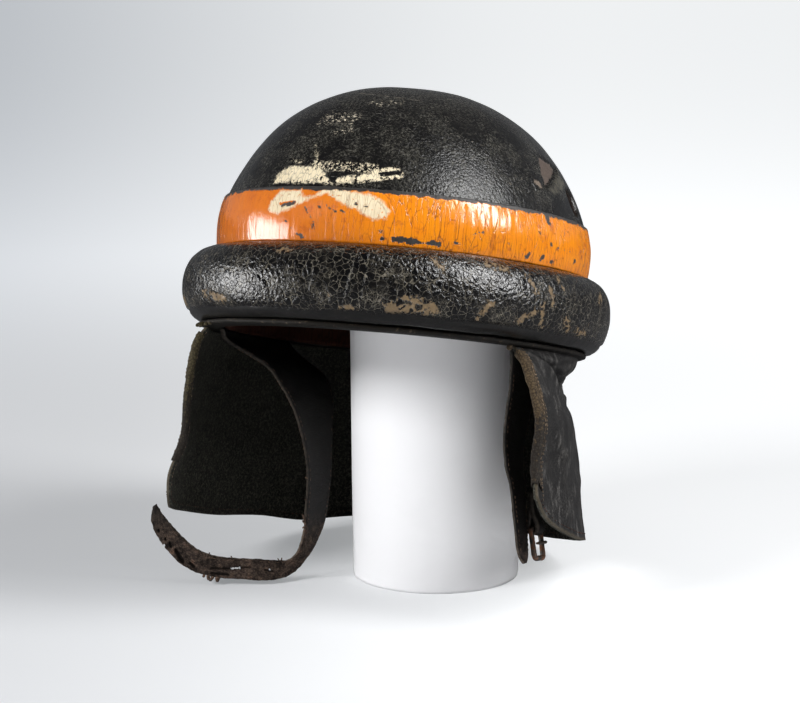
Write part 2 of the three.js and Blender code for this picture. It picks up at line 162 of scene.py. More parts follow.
def runLength(grid, axis):
    # length along rows or columns, from the first point
    steps = np.linalg.norm(np.diff(grid, axis=axis), axis=-1)
    start = np.zeros_like(np.take(grid[..., 0], [0], axis=axis))
    return np.concatenate([start, np.cumsum(steps, axis=axis)], axis=axis)


def nearStroke(points, start, end):
    # distance of each point to the straight line from start to end
    start, end = np.asarray(start, float), np.asarray(end, float)
    way = end - start
    share = np.clip(((points - start) @ way) / max(way @ way, 1e-12), 0, 1)
    return np.linalg.norm(points - start - share[..., None] * way, axis=-1)


def strokeField(points, rows):
    # distance to the outline of strokes, less than 0 inside them; a row is start, end and half width
    fields = [nearStroke(points, row[:2], row[2:4]) - row[4] for row in rows]
    return np.clip(np.min(fields, axis=0), -fieldReach, fieldReach)


def outlineField(points, corners):
    # distance to a closed outline, less than 0 inside it
    corners = np.asarray(corners, float)
    x, y = points[..., 0], points[..., 1]
    distance = np.full(x.shape, fieldReach)
    inside = np.zeros(x.shape, bool)
    for start, end in zip(corners, np.roll(corners, -1, 0)):
        distance = np.minimum(distance, nearStroke(points, start, end))
        rise = end[1] - start[1]
        if rise:
            crossing = start[0] + (y - start[1]) * (end[0] - start[0]) / rise
            inside ^= ((start[1] > y) != (end[1] > y)) & (x < crossing)
    return np.where(inside, -distance, distance)


def unroll(points):
    # millimetres round the helmet from the middle of the front, and up the crown
    return np.stack([np.arctan2(points[..., 0], -points[..., 1]) * helmet["unrollRadius"], points[..., 2]], -1)


def strokeLayers(points, facts, *names):
    # one layer for each of the piece's tables of strokes
    spots = unroll(points)
    return {name: strokeField(spots, facts[name]) for name in names}


def tubeFaces(rows, sides, closed):
    # faces of a grid that closes across its rows, and along them as well if closed
    i, j = np.meshgrid(np.arange(rows if closed else rows - 1), np.arange(sides), indexing="ij")
    below, beside = (i + 1) % rows, (j + 1) % sides
    corners = [i * sides + j, below * sides + j, below * sides + beside, i * sides + beside]
    return np.stack(corners, -1).reshape(-1, 4)


def sheetFaces(keep, columns):
    # both sides of a sheet, the second after the first, and a wall round every edge of what is kept
    side = (keep.shape[0] + 1) * columns
    i, j = np.nonzero(keep)
    a, b = i * columns + j, (i + 1) * columns + j
    c, d = (i + 1) * columns + (j + 1) % columns, i * columns + (j + 1) % columns
    faces = [np.stack([a, b, c, d], -1), np.stack([a, d, c, b], -1) + side]
    wraps = keep.shape[1] == columns
    for stepI, stepJ, p, q in ((-1, 0, d, a), (1, 0, b, c), (0, -1, a, b), (0, 1, c, d)):
        nextI = i + stepI
        nextJ = (j + stepJ) % columns if wraps else j + stepJ
        inside = (nextI >= 0) & (nextI < keep.shape[0]) & (nextJ >= 0) & (nextJ < keep.shape[1])
        atEdge = ~inside
        atEdge[inside] = ~keep[nextI[inside], nextJ[inside]]
        faces.append(np.stack([q, p, p + side, q + side], -1)[atEdge])
    return np.concatenate(faces)


def edgePoints(keep, columns):
    # marks the points where a kept cell meets a dropped one
    wraps = keep.shape[1] == columns
    kept = np.zeros((keep.shape[0] + 1, columns), int)
    dropped = np.zeros_like(kept)
    for cells, count in ((keep, kept), (~keep, dropped)):
        i, j = np.nonzero(cells)
        for stepI in (0, 1):
            for stepJ in (0, 1):
                np.add.at(count, (i + stepI, (j + stepJ) % columns if wraps else j + stepJ), 1)
    return (kept > 0) & (dropped > 0)


def makeMesh(name, points, faces, layers=None, flat=None):
    # points in metres; layers are numbers kept on the points, flat their places on the unrolled piece
    used, corners = np.unique(faces, return_inverse=True)
    faces = corners.reshape(faces.shape)
    points = points.reshape(-1, 3)[used]
    a, b, c, d = (points[faces[:, k]] for k in range(4))
    volume = (np.cross(a, b) * c).sum() + (np.cross(a, c) * d).sum()
    if volume < 0:
        faces = faces[:, ::-1]
    mesh = bpy.data.meshes.new(name)
    mesh.from_pydata(points.tolist(), [], faces.tolist())
    for label, values in (layers or {}).items():
        layer = mesh.attributes.new(label, "FLOAT", "POINT")
        layer.data.foreach_set("value", values.reshape(-1)[used].astype(np.float32))
    if flat is not None:
        unrolled = mesh.uv_layers.new(name="unrolled")
        spots = flat.reshape(-1, 2)[used][faces.reshape(-1)]
        unrolled.data.foreach_set("uv", spots.astype(np.float32).reshape(-1))
    shape = bmesh.new()
    shape.from_mesh(mesh)
    bmesh.ops.remove_doubles(shape, verts=shape.verts, dist=1e-6)
    shape.to_mesh(mesh)
    shape.free()
    mesh.shade_smooth()
    return addObject(name, mesh)


def makeTube(name, points, closed=True, layers=None):
    # rows of points that close across; points are in the helmet's millimetres
    return makeMesh(name, seatHelmet(points), tubeFaces(*points.shape[:2], closed), layers)


def makeSheet(name, front, back, keep, layers, flat=None):
    faces = sheetFaces(keep, front.shape[1])
    return makeMesh(name, seatHelmet(np.stack([front, back])), faces, layers, flat)


def bothSides(layers):
    # the same numbers on both faces of a sheet
    return {name: np.stack([values, values]) for name, values in layers.items()}


def finishPiece(piece, material, slot, *replaced):
    if material is not None:
        piece.data.materials.clear()
        piece.data.materials.append(material)
    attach(piece, "root")
    if replaced:
        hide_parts(*replaced)
    return piece


print("stage: shader groups")


class Value:
    # one output of a node; arithmetic on it adds Math nodes to its tree, and | takes the larger
    def __init__(self, socket):
        self.socket = socket

    def __add__(self, other):
        return calc("ADD", self, other)

    def __sub__(self, other):
        return calc("SUBTRACT", self, other)

    def __rsub__(self, other):
        return calc("SUBTRACT", other, self)

    def __mul__(self, other):
        return calc("MULTIPLY", self, other)

    def __truediv__(self, other):
        return calc("DIVIDE", self, other)

    def __rtruediv__(self, other):
        return calc("DIVIDE", other, self)

    def __or__(self, other):
        return calc("MAXIMUM", self, other)


def setInput(socket, value):
    # a Value is linked, anything else is a constant; a colour may leave out its alpha of 1
    if isinstance(value, Value):
        socket.id_data.links.new(value.socket, socket)
    else:
        socket.default_value = (*value, 1) if socket.type == "RGBA" and len(value) == 3 else value


def addNode(tree, kind, inputs=None, **settings):
    made = tree.nodes.new(kind)
    for key, value in settings.items():
        setattr(made, key, value)
    for key, value in (inputs or {}).items():
        setInput(made.inputs[key], value)
    return made


def put(kind, inputs, output=0, **settings):
    # one output of a new node, in the tree that its linked inputs come from
    tree = next(value.socket.id_data for value in inputs.values() if isinstance(value, Value))
    return Value(addNode(tree, kind, inputs, **settings).outputs[output])


def calc(operation, first, second=0, clamp=False):
    return put("ShaderNodeMath", {0: first, 1: second}, operation=operation, use_clamp=clamp)


def calcVector(operation, first, second=(0, 0, 0), output=0):
    return put("ShaderNodeVectorMath", {0: first, 1: second}, output, operation=operation)


def rise(value, low, high):
    # smooth step from 0 at low to 1 at high
    inputs = {"Value": value, "From Min": low, "From Max": high}
    return put("ShaderNodeMapRange", inputs, interpolation_type="SMOOTHSTEP")


def spread(value, low, high):
    # stretches a mask from 0..1 to low..high
    return put("ShaderNodeMapRange", {"Value": value, "To Min": low, "To Max": high})


def mixValue(amount, first, second):
    return put("ShaderNodeMix", {0: amount, 2: first, 3: second}, data_type="FLOAT")


def mix(amount, first, second):
    return put("ShaderNodeMix", {0: amount, 6: first, 7: second}, 2, data_type="RGBA")


def lay(colour, *coats):
    # lays coats over a colour in order, each a mask and a tone
    for mask, tone in coats:
        colour = mix(mask, colour, tone)
    return colour


def cloud(point, size, detail=3, rough=0.55):
    # noise around 0.5 with blobs of that size
    return put("ShaderNodeTexNoise", {"Vector": point, "Scale": 1 / size, "Detail": detail, "Roughness": rough})


def blots(point, size, detail, rough, low, high):
    # a mask of the places where the noise rises from low to high
    return rise(cloud(point, size, detail, rough), low, high)


def stretch(point, scale):
    return put("ShaderNodeMapping", {"Vector": point, "Scale": scale})


def makeGroup(name, inputs, outputs, build):
    # build takes the inputs in order and gives back the outputs in order
    group = bpy.data.node_groups.new(name, "ShaderNodeTree")
    for way, labels in (("INPUT", inputs), ("OUTPUT", outputs)):
        for label in labels:
            kind = "NodeSocketVector" if label in ("Position", "Point", "Local") else "NodeSocketFloat"
            group.interface.new_socket(label, in_out=way, socket_type=kind)
    start = group.nodes.new("NodeGroupInput").outputs
    end = group.nodes.new("NodeGroupOutput").inputs
    for label, value in zip(outputs, build(*(Value(start[label]) for label in inputs))):
        setInput(end[label], value)
    return group


def useGroup(group, *values):
    # places a group in a material; the values go to its inputs in order
    made = addNode(values[0].socket.id_data, "ShaderNodeGroup", node_tree=group)
    for socket, value in zip(made.inputs, values):
        setInput(socket, value)
    return {socket.name: Value(socket) for socket in made.outputs}


def helmetPlace(position):
    # object coordinates to the helmet's own frame in millimetres; Height runs up the crown
    moved = calcVector("SUBTRACT", position, tuple(part * mm for part in helmet["seat"]))
    turn = {"Vector": moved, "Angle": math.radians(helmet["tiltBack"])}
    local = calcVector("MULTIPLY", put("ShaderNodeVectorRotate", turn, rotation_type="X_AXIS"), (1 / mm,) * 3)
    return local, put("ShaderNodeSeparateXYZ", {0: local}, 2)


def raggedMask(point, distance, amount, soft):
    # turns the distance to a stroke's outline into a mask with a ragged edge
    return [rise(distance + (cloud(point, 2.6, 4, 0.7) - 0.5) * amount * 4, 0, soft * -1)]


def crazedGlaze(point, plateSize, crackWidth, waver):
    # a glaze broken into plates: Crack is 1 in the cracks, Plate a number for each plate, Tilt its slope
    middle = (0.5, 0.5, 0.5)
    density = 1 / plateSize
    wander = put("ShaderNodeTexNoise", {"Vector": point, "Scale": 0.6, "Detail": 3}, 1)
    shift = {0: calcVector("SUBTRACT", wander, middle), "Scale": waver}
    point = calcVector("ADD", point, put("ShaderNodeVectorMath", shift, operation="SCALE"))
    inputs = {"Vector": point, "Scale": density, "Randomness": 1}
    edges = put("ShaderNodeTexVoronoi", inputs, "Distance", feature="DISTANCE_TO_EDGE")
    plates = addNode(point.socket.id_data, "ShaderNodeTexVoronoi", inputs, feature="F1").outputs
    hue = Value(plates["Color"])
    # each plate leans its own way
    lean = calcVector("SUBTRACT", hue, middle)
    away = calcVector("SUBTRACT", point, Value(plates["Position"]))
    tilt = calcVector("DOT_PRODUCT", away, lean, "Value")
    crack, dome = rise(edges, crackWidth * density, 0), rise(edges, 0, 0.35)
    return crack, dome, put("ShaderNodeSeparateColor", {0: hue}), tilt


def leatherGrain(point, poreSize):
    # Height for the bump, Mottle for slow changes of tone
    inputs = {"Vector": point, "Scale": 1 / poreSize}
    pebbles = put("ShaderNodeTexVoronoi", inputs, "Distance", feature="F1")
    return pebbles * -0.6 + put("ShaderNodeTexNoise", inputs | {"Detail": 4}), cloud(point, 14, 5, 0.65)


def scuffs(point, length, width, amount):
    # fine scratches in two directions, in patches
    masks = []
    along, across = 1 / length, 1 / width
    scale = put("ShaderNodeCombineXYZ", {0: along, 1: across, 2: across})
    for turn in ((0.3, 0.5, 0.4), (1.1, -0.7, 1.3)):
        lines = put("ShaderNodeMapping", {"Vector": point, "Scale": scale, "Rotation": turn})
        masks.append(blots(lines, 1, 1, 0.55, 0.66, 0.76))
    return [(masks[0] | masks[1]) * blots(point, 18, 3, 0.55, 0.42, 0.62) * amount]


helmetPlaceGroup = makeGroup("helmetPlace", ["Position"], ["Local", "Height"], helmetPlace)
raggedGroup = makeGroup("ragged", ["Point", "Distance", "Amount", "Soft"], ["Mask"], raggedMask)
crazingInputs = ["Point", "Plate Size", "Crack Width", "Waver"]
crazingGroup = makeGroup("crazing", crazingInputs, ["Crack", "Dome", "Plate", "Tilt"], crazedGlaze)
grainGroup = makeGroup("leatherGrain", ["Point", "Pore Size"], ["Height", "Mottle"], leatherGrain)
scuffGroup = makeGroup("scuffs", ["Point", "Length", "Width", "Amount"], ["Mask"], scuffs)


def newMaterial(name):
    # a material and its object coordinates
    material = bpy.data.materials.new(name)
    material.use_nodes = True
    return material, Value(material.node_tree.nodes.new("ShaderNodeTexCoord").outputs["Object"])


def helmetMaterial(name):
    # a material, its coordinates in the helmet's own frame, and the height up the crown
    material, position = newMaterial(name)
    place = useGroup(helmetPlaceGroup, position)
    return material, place["Local"], place["Height"]


def readLayer(beside, name):
    # a mesh's layer, in the tree of the value beside it
    return Value(addNode(beside.socket.id_data, "ShaderNodeAttribute", attribute_name=name).outputs["Fac"])


def ragged(point, name, amount=1, soft=0.35):
    # the mask of the strokes whose distances a mesh keeps under that name
    return useGroup(raggedGroup, point, readLayer(point, name), amount, soft)["Mask"]


def without(mask, other):
    return mask * calc("SUBTRACT", 1, other, clamp=True)


def setLook(material, colour, roughness, height, depth, gloss=0.2):
    # height runs from 0 to 1 and stands for depth millimetres
    normal = put("ShaderNodeBump", {"Height": height, "Distance": depth * mm, "Strength": 1})
    look = {"Base Color": colour, "Roughness": roughness, "Normal": normal, "Specular IOR Level": gloss}
    for key, value in look.items():
        setInput(material.node_tree.nodes["Principled BSDF"].inputs[key], value)
    return material


# the worn cream saltire on the front, unrolled: millimetres round the front and up the crown
saltire = {
    "outlines": [
        [(-37.4, 69.8), (-37, 75.5), (-32, 80.5), (-22.8, 80.5), (-9.2, 80), (-3, 73), (-2, 69.8)],
        [
            (-2.5, 69.9), (1.9, 74.6), (13.1, 76.8), (21.5, 80.2), (29.9, 82.4), (33.8, 79), (33, 75.3),
            (18.2, 72.2), (10.2, 69.9),
        ],
        [
            (-4.9, 68), (-8.3, 64.4), (-13.6, 63.8), (-14.8, 67.6), (-27.9, 67.2), (-33.6, 61), (-35, 56),
            (-31, 53.4), (-26, 53), (-16.5, 57), (-7.8, 61.7), (0.5, 65), (4, 68),
        ],
        [
            (-5, 68.4), (4.7, 68.7), (10.6, 67.4), (19.4, 66.3), (26.2, 62.7), (29.9, 57.4), (27.9, 52.8),
            (20.7, 51.4), (13.4, 55.8), (6.5, 58.6), (-1.5, 62.6),
        ],
    ],
    "gone": [
        (21.8, 76.6, 31, 78.4, 1.5), (-26, 59, -18, 59.6, 1.2), (-9, 69, -6.5, 75, 0.7),
        (9.5, 71, 11, 76.5, 0.9), (-14.5, 67.4, -8.5, 66.4, 1), (-1.5, 63.2, 2.5, 61.8, 0.7),
        (5, 70.2, 16, 71.4, 0.7),
    ],
    # only flakes are left here
    "remnants": [
        (-18.3, 91.3, -12.5, 82, 1.6), (-14, 80, 18, 79.5, 3.4), (-30, 83, -22, 82.5, 1.5),
    ],
}
cream = (0.86, 0.76, 0.56, 1)


def saltireFields(points):
    spots = unroll(points)
    return {
        "saltire": np.min([outlineField(spots, corners) for corners in saltire["outlines"]], axis=0),
        "saltireGone": strokeField(spots, saltire["gone"]),
        "remnants": strokeField(spots, saltire["remnants"]),
    }


def addSaltire(point, wear, rim, soft):
    # wear and rim are the shares of the noise that stay painted, inside and at the outline
    whole = without(ragged(point, "saltire", 1, soft), ragged(point, "saltireGone", 0.8))
    kept = mixValue(rise(readLayer(point, "saltire"), 0.4, -4), rim, wear)
    whole = whole * rise(cloud(point, 1.9, 6, 0.75) - kept, 0, -0.03)
    return whole | ragged(point, "remnants", 1.5, 1) * blots(point, 1.3, 5, 0.75, 0.52, 0.55)


print("stage: crown")
crown = {
    "columns": 384,
    "domeRows": 90,
    "straightRows": 14,
    "ventRadius": 8,
    "ventAngle": 3.5,
    "ventHeight": 80,
    "ventDepth": 15,  # the vent's cut reaches this far into the crown
    "dents": [(0.55, 42, 3.1), (0.18, 13, 7.7)],
    "dentsFrom": 66,
    "dentsFade": 12,
    # the torn place beside the vent, unrolled
    "scar": [(143, 102.5), (155, 101), (168, 97.5), (152, 91.5), (134, 84.5), (133, 91)],
    "olive": [
        (132, 82.5), (146, 88.5), (166, 96.5), (178, 93), (176, 88), (160, 84), (142, 79.5),
    ],
    "slit": [(169.5, 97.2, 130, 83.3, 0.9)],
    "pale": [(120, 84.6, 125.5, 82.6, 1.9)],
    "scratches": [
        (94.8, 87.8, 108.7, 84.3, 0.35), (94.3, 81.2, 119.8, 72.3, 0.3), (60, 104, 88, 98, 0.35),
        (-20, 126, 40, 123, 0.3),
    ],
    "flecks": [
        (-24, 108, -3, 108.5, 5), (-8, 100.5, -1, 101.5, 3.5), (2, 118.5, 24, 120, 2.6),
    ],
}


def domeRadius(height, inset):
    power = helmet["crownPower"]
    reach = 1 - (height / (helmet["crownHeight"] - inset)) ** power
    radius = (helmet["crownBase"] - inset) * np.maximum(reach, 0) ** (1 / power)
    return np.minimum(radius, helmet["shellRadius"] - inset)


def domeProfile(inset):
    # rows of radius and height, from the top of the dome down to the rim
    power = helmet["crownPower"]
    shoulder = (1 - (helmet["shellRadius"] / helmet["crownBase"]) ** power) ** 0.5
    angle = np.linspace(math.pi / 2, math.asin(shoulder), crown["domeRows"])
    height = (helmet["crownHeight"] - inset) * np.sin(angle) ** (2 / power)
    height = np.concatenate([height, np.linspace(height[-1], 0, crown["straightRows"] + 1)[1:]])
    radius = domeRadius(height, inset)
    radius[0] = 0
    return np.stack([radius, height], -1)


def ventAxis():
    place = ovalPoints(domeRadius(crown["ventHeight"], 0), crown["ventAngle"], crown["ventHeight"])
    outward = np.array([place[0], place[1] * 0.75, 24])
    return place, unit(outward)


def makeCrown():
    columns = crown["columns"]
    outer, inner = (ringGrid(domeProfile(inset), columns) for inset in (0, helmet["shellWall"]))
    normals = facing(gridNormals(outer, ring=True), outer - [0, 0, 30])
    normals[0] = (0, 0, 1)
    spots = unroll(outer)
    fields = strokeLayers(outer, crown, "slit", "pale", "scratches", "flecks")
    fields |= {name: outlineField(spots, crown[name]) for name in ("scar", "olive")} | saltireFields(outer)
    free = np.clip((outer[..., 2] - crown["dentsFrom"]) / crown["dentsFade"], 0, 1)
    swell = ripples(outer, crown["dents"])
    swell -= within(fields["scar"], 0.7, 1.1) - 0.5 * ripple(outer, 3, 1.3) * (fields["scar"] < 1)
    swell += 0.7 * bell(fields["scar"] - 1.2, 1) * (0.5 + 0.5 * ripple(outer, 5, 1.3))
    swell -= within(fields["olive"], 0.8, 0.35 * (0.6 + ripple(outer, 4, 4.7)))
    swell -= 1.8 * bell(fields["slit"] + 1, 1.3)
    swell += 0.5 * bell(fields["pale"], 1.6)
    outer = outer + normals * (swell * free)[..., None]

    # the vent: cells inside its circle are dropped, and the edge is drawn onto the circle
    place, axis = ventAxis()
    keeps = np.ones((len(outer) - 1, columns), bool)

    def offAxis(points):
        away = points - place
        return away - (away @ axis)[..., None] * axis

    middle = (outer[:-1] + outer[1:]) / 2
    middle = (middle + np.roll(middle, -1, 1)) / 2
    sameSide = (middle - place) @ axis > -crown["ventDepth"]
    keeps[(np.linalg.norm(offAxis(middle), axis=-1) < crown["ventRadius"]) & sameSide] = False
    edge = edgePoints(keeps, columns)
    for side in (outer, inner):
        radial = offAxis(side[edge])
        length = np.linalg.norm(radial, axis=-1, keepdims=True)
        side[edge] += radial * (crown["ventRadius"] / length - 1)
    ventDistance = np.linalg.norm(offAxis(outer), axis=-1)
    ventDistance = np.where((outer - place) @ axis > -crown["ventDepth"], ventDistance, 99)
    outer -= normals * (0.7 * bell(ventDistance - crown["ventRadius"], 1.3))[..., None]

    inside = np.stack([np.zeros_like(ventDistance), np.ones_like(ventDistance)])
    layers = {"inside": inside} | bothSides(fields | {"vent": ventDistance})
    return makeSheet("crownShell", outer, inner, keeps, layers)


def makeLacquer():
    material, local, height = helmetMaterial("lacqueredLeather")
    grain = useGroup(grainGroup, local, 1)
    crazing = useGroup(crazingGroup, local, 2.7, 0.26, 2.2)
    patches = blots(local, 15, 6, 0.7, 0.42, 0.62) | rise(height, 104, 132)
    dust = blots(local, 1.3, 7, 0.85, 0.51, 0.6) * spread(patches, 0.12, 1)
    net = crazing["Crack"] * spread(blots(local, 13, 5, 0.65, 0.5, 0.68), 0.02, 0.5)
    fleckPoint = stretch(local, (0.6, 1, 1.4))
    flecks = ragged(local, "flecks", 3, 3) * blots(fleckPoint, 1.25, 5, 0.75, 0.565, 0.595)

    saltireMask = addSaltire(local, 0.65, 0.5, 0.8)
    ribs = useGroup(crazingGroup, stretch(local, (1, 1, 0.14)), 2, 0.17, 0.8)
    creamTone = mix(cloud(local, 3), (0.7, 0.59, 0.39), cream)
    scar = ragged(local, "scar", 1.5, 0.8)
    olive = ragged(local, "olive", 1.6, 3) * blots(local, 2.4, 6, 0.75, 0.36, 0.62)
    raw = mix(cloud(local, 2, 6, 0.7), (0.03, 0.022, 0.018), (0.17, 0.125, 0.1))
    paleTone = mix(cloud(local, 1.2, 5, 0.75), (0.07, 0.055, 0.045), (0.3, 0.24, 0.19))
    inside = readLayer(local, "inside")
    colour = lay(
        mix(grain["Mottle"], (0.002, 0.002, 0.0024), (0.0065, 0.006, 0.006)),
        (patches * 0.3, (0.018, 0.0175, 0.014)),
        (net, (0.085, 0.08, 0.066)),
        (dust * 0.7, (0.15, 0.142, 0.118)),
        (useGroup(scuffGroup, local, 6, 0.5, 0.9)["Mask"] * 0.6, (0.2, 0.19, 0.165)),
        (ragged(local, "scratches", 0.35, 0.3) * 0.7, (0.28, 0.25, 0.2)),
        (flecks | blots(local, 1.5, 6, 0.8, 0.72, 0.745) * 0.5, (0.72, 0.64, 0.5)),
        (saltireMask, mix(ribs["Crack"] * 0.6, creamTone, (0.1, 0.075, 0.055))),
        (olive * 0.8, (0.11, 0.1, 0.075)),
        (scar * 0.9, raw),
        (ragged(local, "pale", 1.8, 1.2), paleTone),
        (ragged(local, "slit", 0.4, 0.6), (0.006, 0.004, 0.003)),
        (rise(readLayer(local, "vent"), 10.2, 8.4) * 0.5, (0.02, 0.016, 0.013)),
        (rise(inside, 0.02, 0.3), mix(grain["Mottle"], (0.012, 0.007, 0.005), (0.04, 0.022, 0.015))),
    )

    worn = scar | saltireMask | (inside | olive) | dust * 0.6
    roughness = mixValue(worn, spread(cloud(local, 9, 4), 0.18, 0.3), 0.5)
    relief = grain["Height"] * 0.8 + crazing["Dome"] * 0.5 + saltireMask * 0.5 + cloud(local, 2.2, 3, 0.6) * 0.3
    relief = relief + crazing["Tilt"] * 0.2 - scar * cloud(local, 1.6, 5, 0.8)
    return setLook(material, colour, roughness, relief, 0.2, 0.5)


finishPiece(makeCrown(), makeLacquer(), "lacquered_leather", "crown")


print("stage: painted band")
band = {
    "columns": 720,
    "bottom": 40.2,
    "top": 68.5,
    "bottomRadius": 100.4,
    "bulgeRadius": 101.4,
    "bulgeHeight": 52,
    "topRadius": 99,
    "edgeDrop": 1.4,
    "faceRows": 34,
    "ridge": 0.15,
    # paint gone down to the black leather; unrolled places
    "chips": [
        (31.5, 43.8, 41, 43.4, 1.7), (41, 43.4, 48.5, 43, 0.8), (49, 43.6, 53, 43.4, 1.2),
        (-25, 58.3, -18, 59.4, 0.9), (-12, 57.5, -7, 50, 0.35), (-6.8, 50, -6.6, 44.5, 0.6),
        (-22, 50.5, -18.5, 46, 0.35), (-15.5, 43.2, -11.5, 42, 0.7), (-91.5, 62, -89.5, 42.5, 0.9),
        (86.5, 70, 92, 68.2, 1.5), (25.5, 46.5, 26, 43, 0.7), (104.5, 42.4, 107, 44.6, 1.3),
        (117, 42.8, 119, 45, 1.3), (127.3, 42.8, 128.2, 43.6, 1.1), (155, 46.5, 157, 46.8, 1),
        (121.5, 68, 122.9, 63.5, 1.9), (113.5, 57.5, 114.5, 56.5, 0.9), (-84, 67.5, -88, 65.5, 1.5),
    ],
    "dots": [
        (124.8, 52.2, 126, 51.8, 0.9), (132, 51.2, 133, 50.8, 0.6), (139, 51.6, 140, 51.2, 0.5),
        (146, 51, 147, 51, 0.5), (12, 60, 13.5, 59.8, 0.5), (16, 59.4, 18.5, 58.8, 0.45),
        (-5, 58.2, -4.2, 57.4, 0.6), (-1.6, 57.6, 0.4, 57, 0.5), (2.6, 56.4, 3.6, 55.8, 0.55),
        (6, 56.2, 8, 55.4, 0.4), (-1.2, 58.8, -0.8, 58, 0.4), (60, 45, 66, 44.3, 0.45),
        (70, 50.5, 75, 52, 0.45),
    ],
}


def roundedSection(corners, count):
    # a closed, evenly stepped curve through a section's corners
    loop = np.asarray(corners + corners[:1], float)
    places = np.concatenate([[0], np.cumsum(np.linalg.norm(np.diff(loop, axis=0), axis=1))])
    padded = np.concatenate([loop[-3:-1], loop, loop[1:3]])
    ahead, behind = places[1:3] + places[-1], places[-3:-1] - places[-1]
    return readTable(np.concatenate([behind, places, ahead]), padded, np.linspace(0, places[-1], count + 1)[:-1])


def bandSection():
    inner = helmet["shellRadius"] + helmet["fit"]
    middle = band["top"] - band["edgeDrop"]
    face = np.linspace(band["bottom"], middle, band["faceRows"])
    # the face bulges like the padded leather under it
    above = np.clip((face - band["bulgeHeight"]) / (middle - band["bulgeHeight"]), 0, 1)
    below = np.clip((band["bulgeHeight"] - face) / (band["bulgeHeight"] - band["bottom"]), 0, 1)
    faceRadius = band["bulgeRadius"] - above ** 2 * (band["bulgeRadius"] - band["topRadius"])
    faceRadius -= below ** 2 * (band["bulgeRadius"] - band["bottomRadius"])
    lip = np.radians(np.linspace(0, 90, 9)[1:])
    lipReach = band["topRadius"] - helmet["shellRadius"]
    lipRadius = band["topRadius"] - lipReach * (1 - np.cos(lip))
    lipHeight = middle + band["edgeDrop"] * np.sin(lip)
    back = [[helmet["shellRadius"] - 0.2, band["top"] - 0.1], [inner, middle], [inner, band["bottom"]]]
    return np.concatenate([np.stack([faceRadius, face], -1), np.stack([lipRadius, lipHeight], -1), back])


def makeBand():
    section = bandSection()
    grid = ringGrid(section, band["columns"])
    outward = unit(grid * [1, 1, 0])
    layers = strokeLayers(grid, band, "chips", "dots") | saltireFields(grid)
    onFace = np.arange(len(section)) < band["faceRows"] + 5
    onRight = np.clip((grid[..., 0] + 10) / 45, 0, 1)
    cupped = ripple(grid, (3, 3, 22), 5.2) * band["ridge"] * (0.25 + 0.75 * onRight)
    lifted = np.clip(ripple(grid, (7, 7, 9), 8.4) - 0.25, 0, 1) * 0.35
    swell = (cupped + lifted + 0.1) * onFace[:, None]
    grid = grid + outward * swell[..., None]
    wavyTop = ripple(grid, (4, 4, 60), 2.2) * 0.35
    grid[..., 2] += wavyTop * np.clip((grid[..., 2] - 60) / 8, 0, 1)
    return makeTube("bandPaint", grid, layers=layers)


def makePaint():
    material, local, height = helmetMaterial("orangePaint")
    topLine = height + (cloud(local, 5, 5, 0.65) - 0.5) * 5.5
    onRight = rise(put("ShaderNodeSeparateXYZ", {0: local}), -25, 50)
    cracks = useGroup(crazingGroup, stretch(local, (1, 1, 0.17)), 4.4, 0.12, 1)
    fineCracks = useGroup(crazingGroup, stretch(local, (1, 1, 0.07)), 2.4, 0.09, 0.5)
    deep = cracks["Crack"] * (blots(local, 20, 3, 0.55, 0.34, 0.54) * spread(onRight, 0.15, 1))
    fineDeep = fineCracks["Crack"] * spread(onRight, 0.05, 0.6)

    dull = mix(cloud(local, 11, 4), (0.56, 0.125, 0.012), (0.78, 0.22, 0.02))
    fresh = mix(cloud(local, 9, 4), (0.82, 0.21, 0.004), (0.93, 0.33, 0.006))
    saltireMask = addSaltire(local, 0.64, 0.58, 2.2)
    ribs = useGroup(crazingGroup, stretch(local, (1, 1, 0.16)), 2.6, 0.16, 0.9)
    creamTone = mix(cloud(local, 3), (0.72, 0.58, 0.36), cream)
    bare = ragged(local, "chips", 1.4) | ragged(local, "dots", 0.9, 0.25)
    bare = bare | blots(local, 1.3, 5, 0.75, 0.695, 0.715) | rise(topLine, 66.3, 66.9)
    colour = lay(
        mix(onRight, dull, fresh),
        (cloud(local, 1.7, 4, 0.7) * 0.3, (0.5, 0.11, 0.008)),
        (blots(local, 6, 7, 0.75, 0.53, 0.64) * 0.55, (0.4, 0.085, 0.02)),
        (fineDeep, (0.3, 0.065, 0.01)),
        (blots(local, 1.1, 4, 0.7, 0.66, 0.72) * 0.6, (0.16, 0.04, 0.012)),
        (saltireMask, mix(ribs["Crack"] * 0.5, creamTone, (0.3, 0.14, 0.06))),
        (deep * 0.7, (0.12, 0.035, 0.012)),
        (bare, mix(cloud(local, 3, 4), (0.008, 0.008, 0.008), (0.035, 0.03, 0.026))),
    )

    roughness = mixValue(bare, spread(cloud(local, 5, 4), 0.08, 0.26), 0.6)
    relief = (1 - bare) * 0.7 - deep * 0.6 + cracks["Dome"] * 0.35 + cloud(local, 1.4, 3, 0.6) * 0.08
    relief = relief - fineDeep * 0.3 + saltireMask * 0.3 + fineCracks["Tilt"] * spread(onRight, 0.12, 0.45)
    return setLook(material, colour, roughness, relief, 0.2, 1)


finishPiece(makeBand(), makePaint(), "orange_paint", "painted_band")


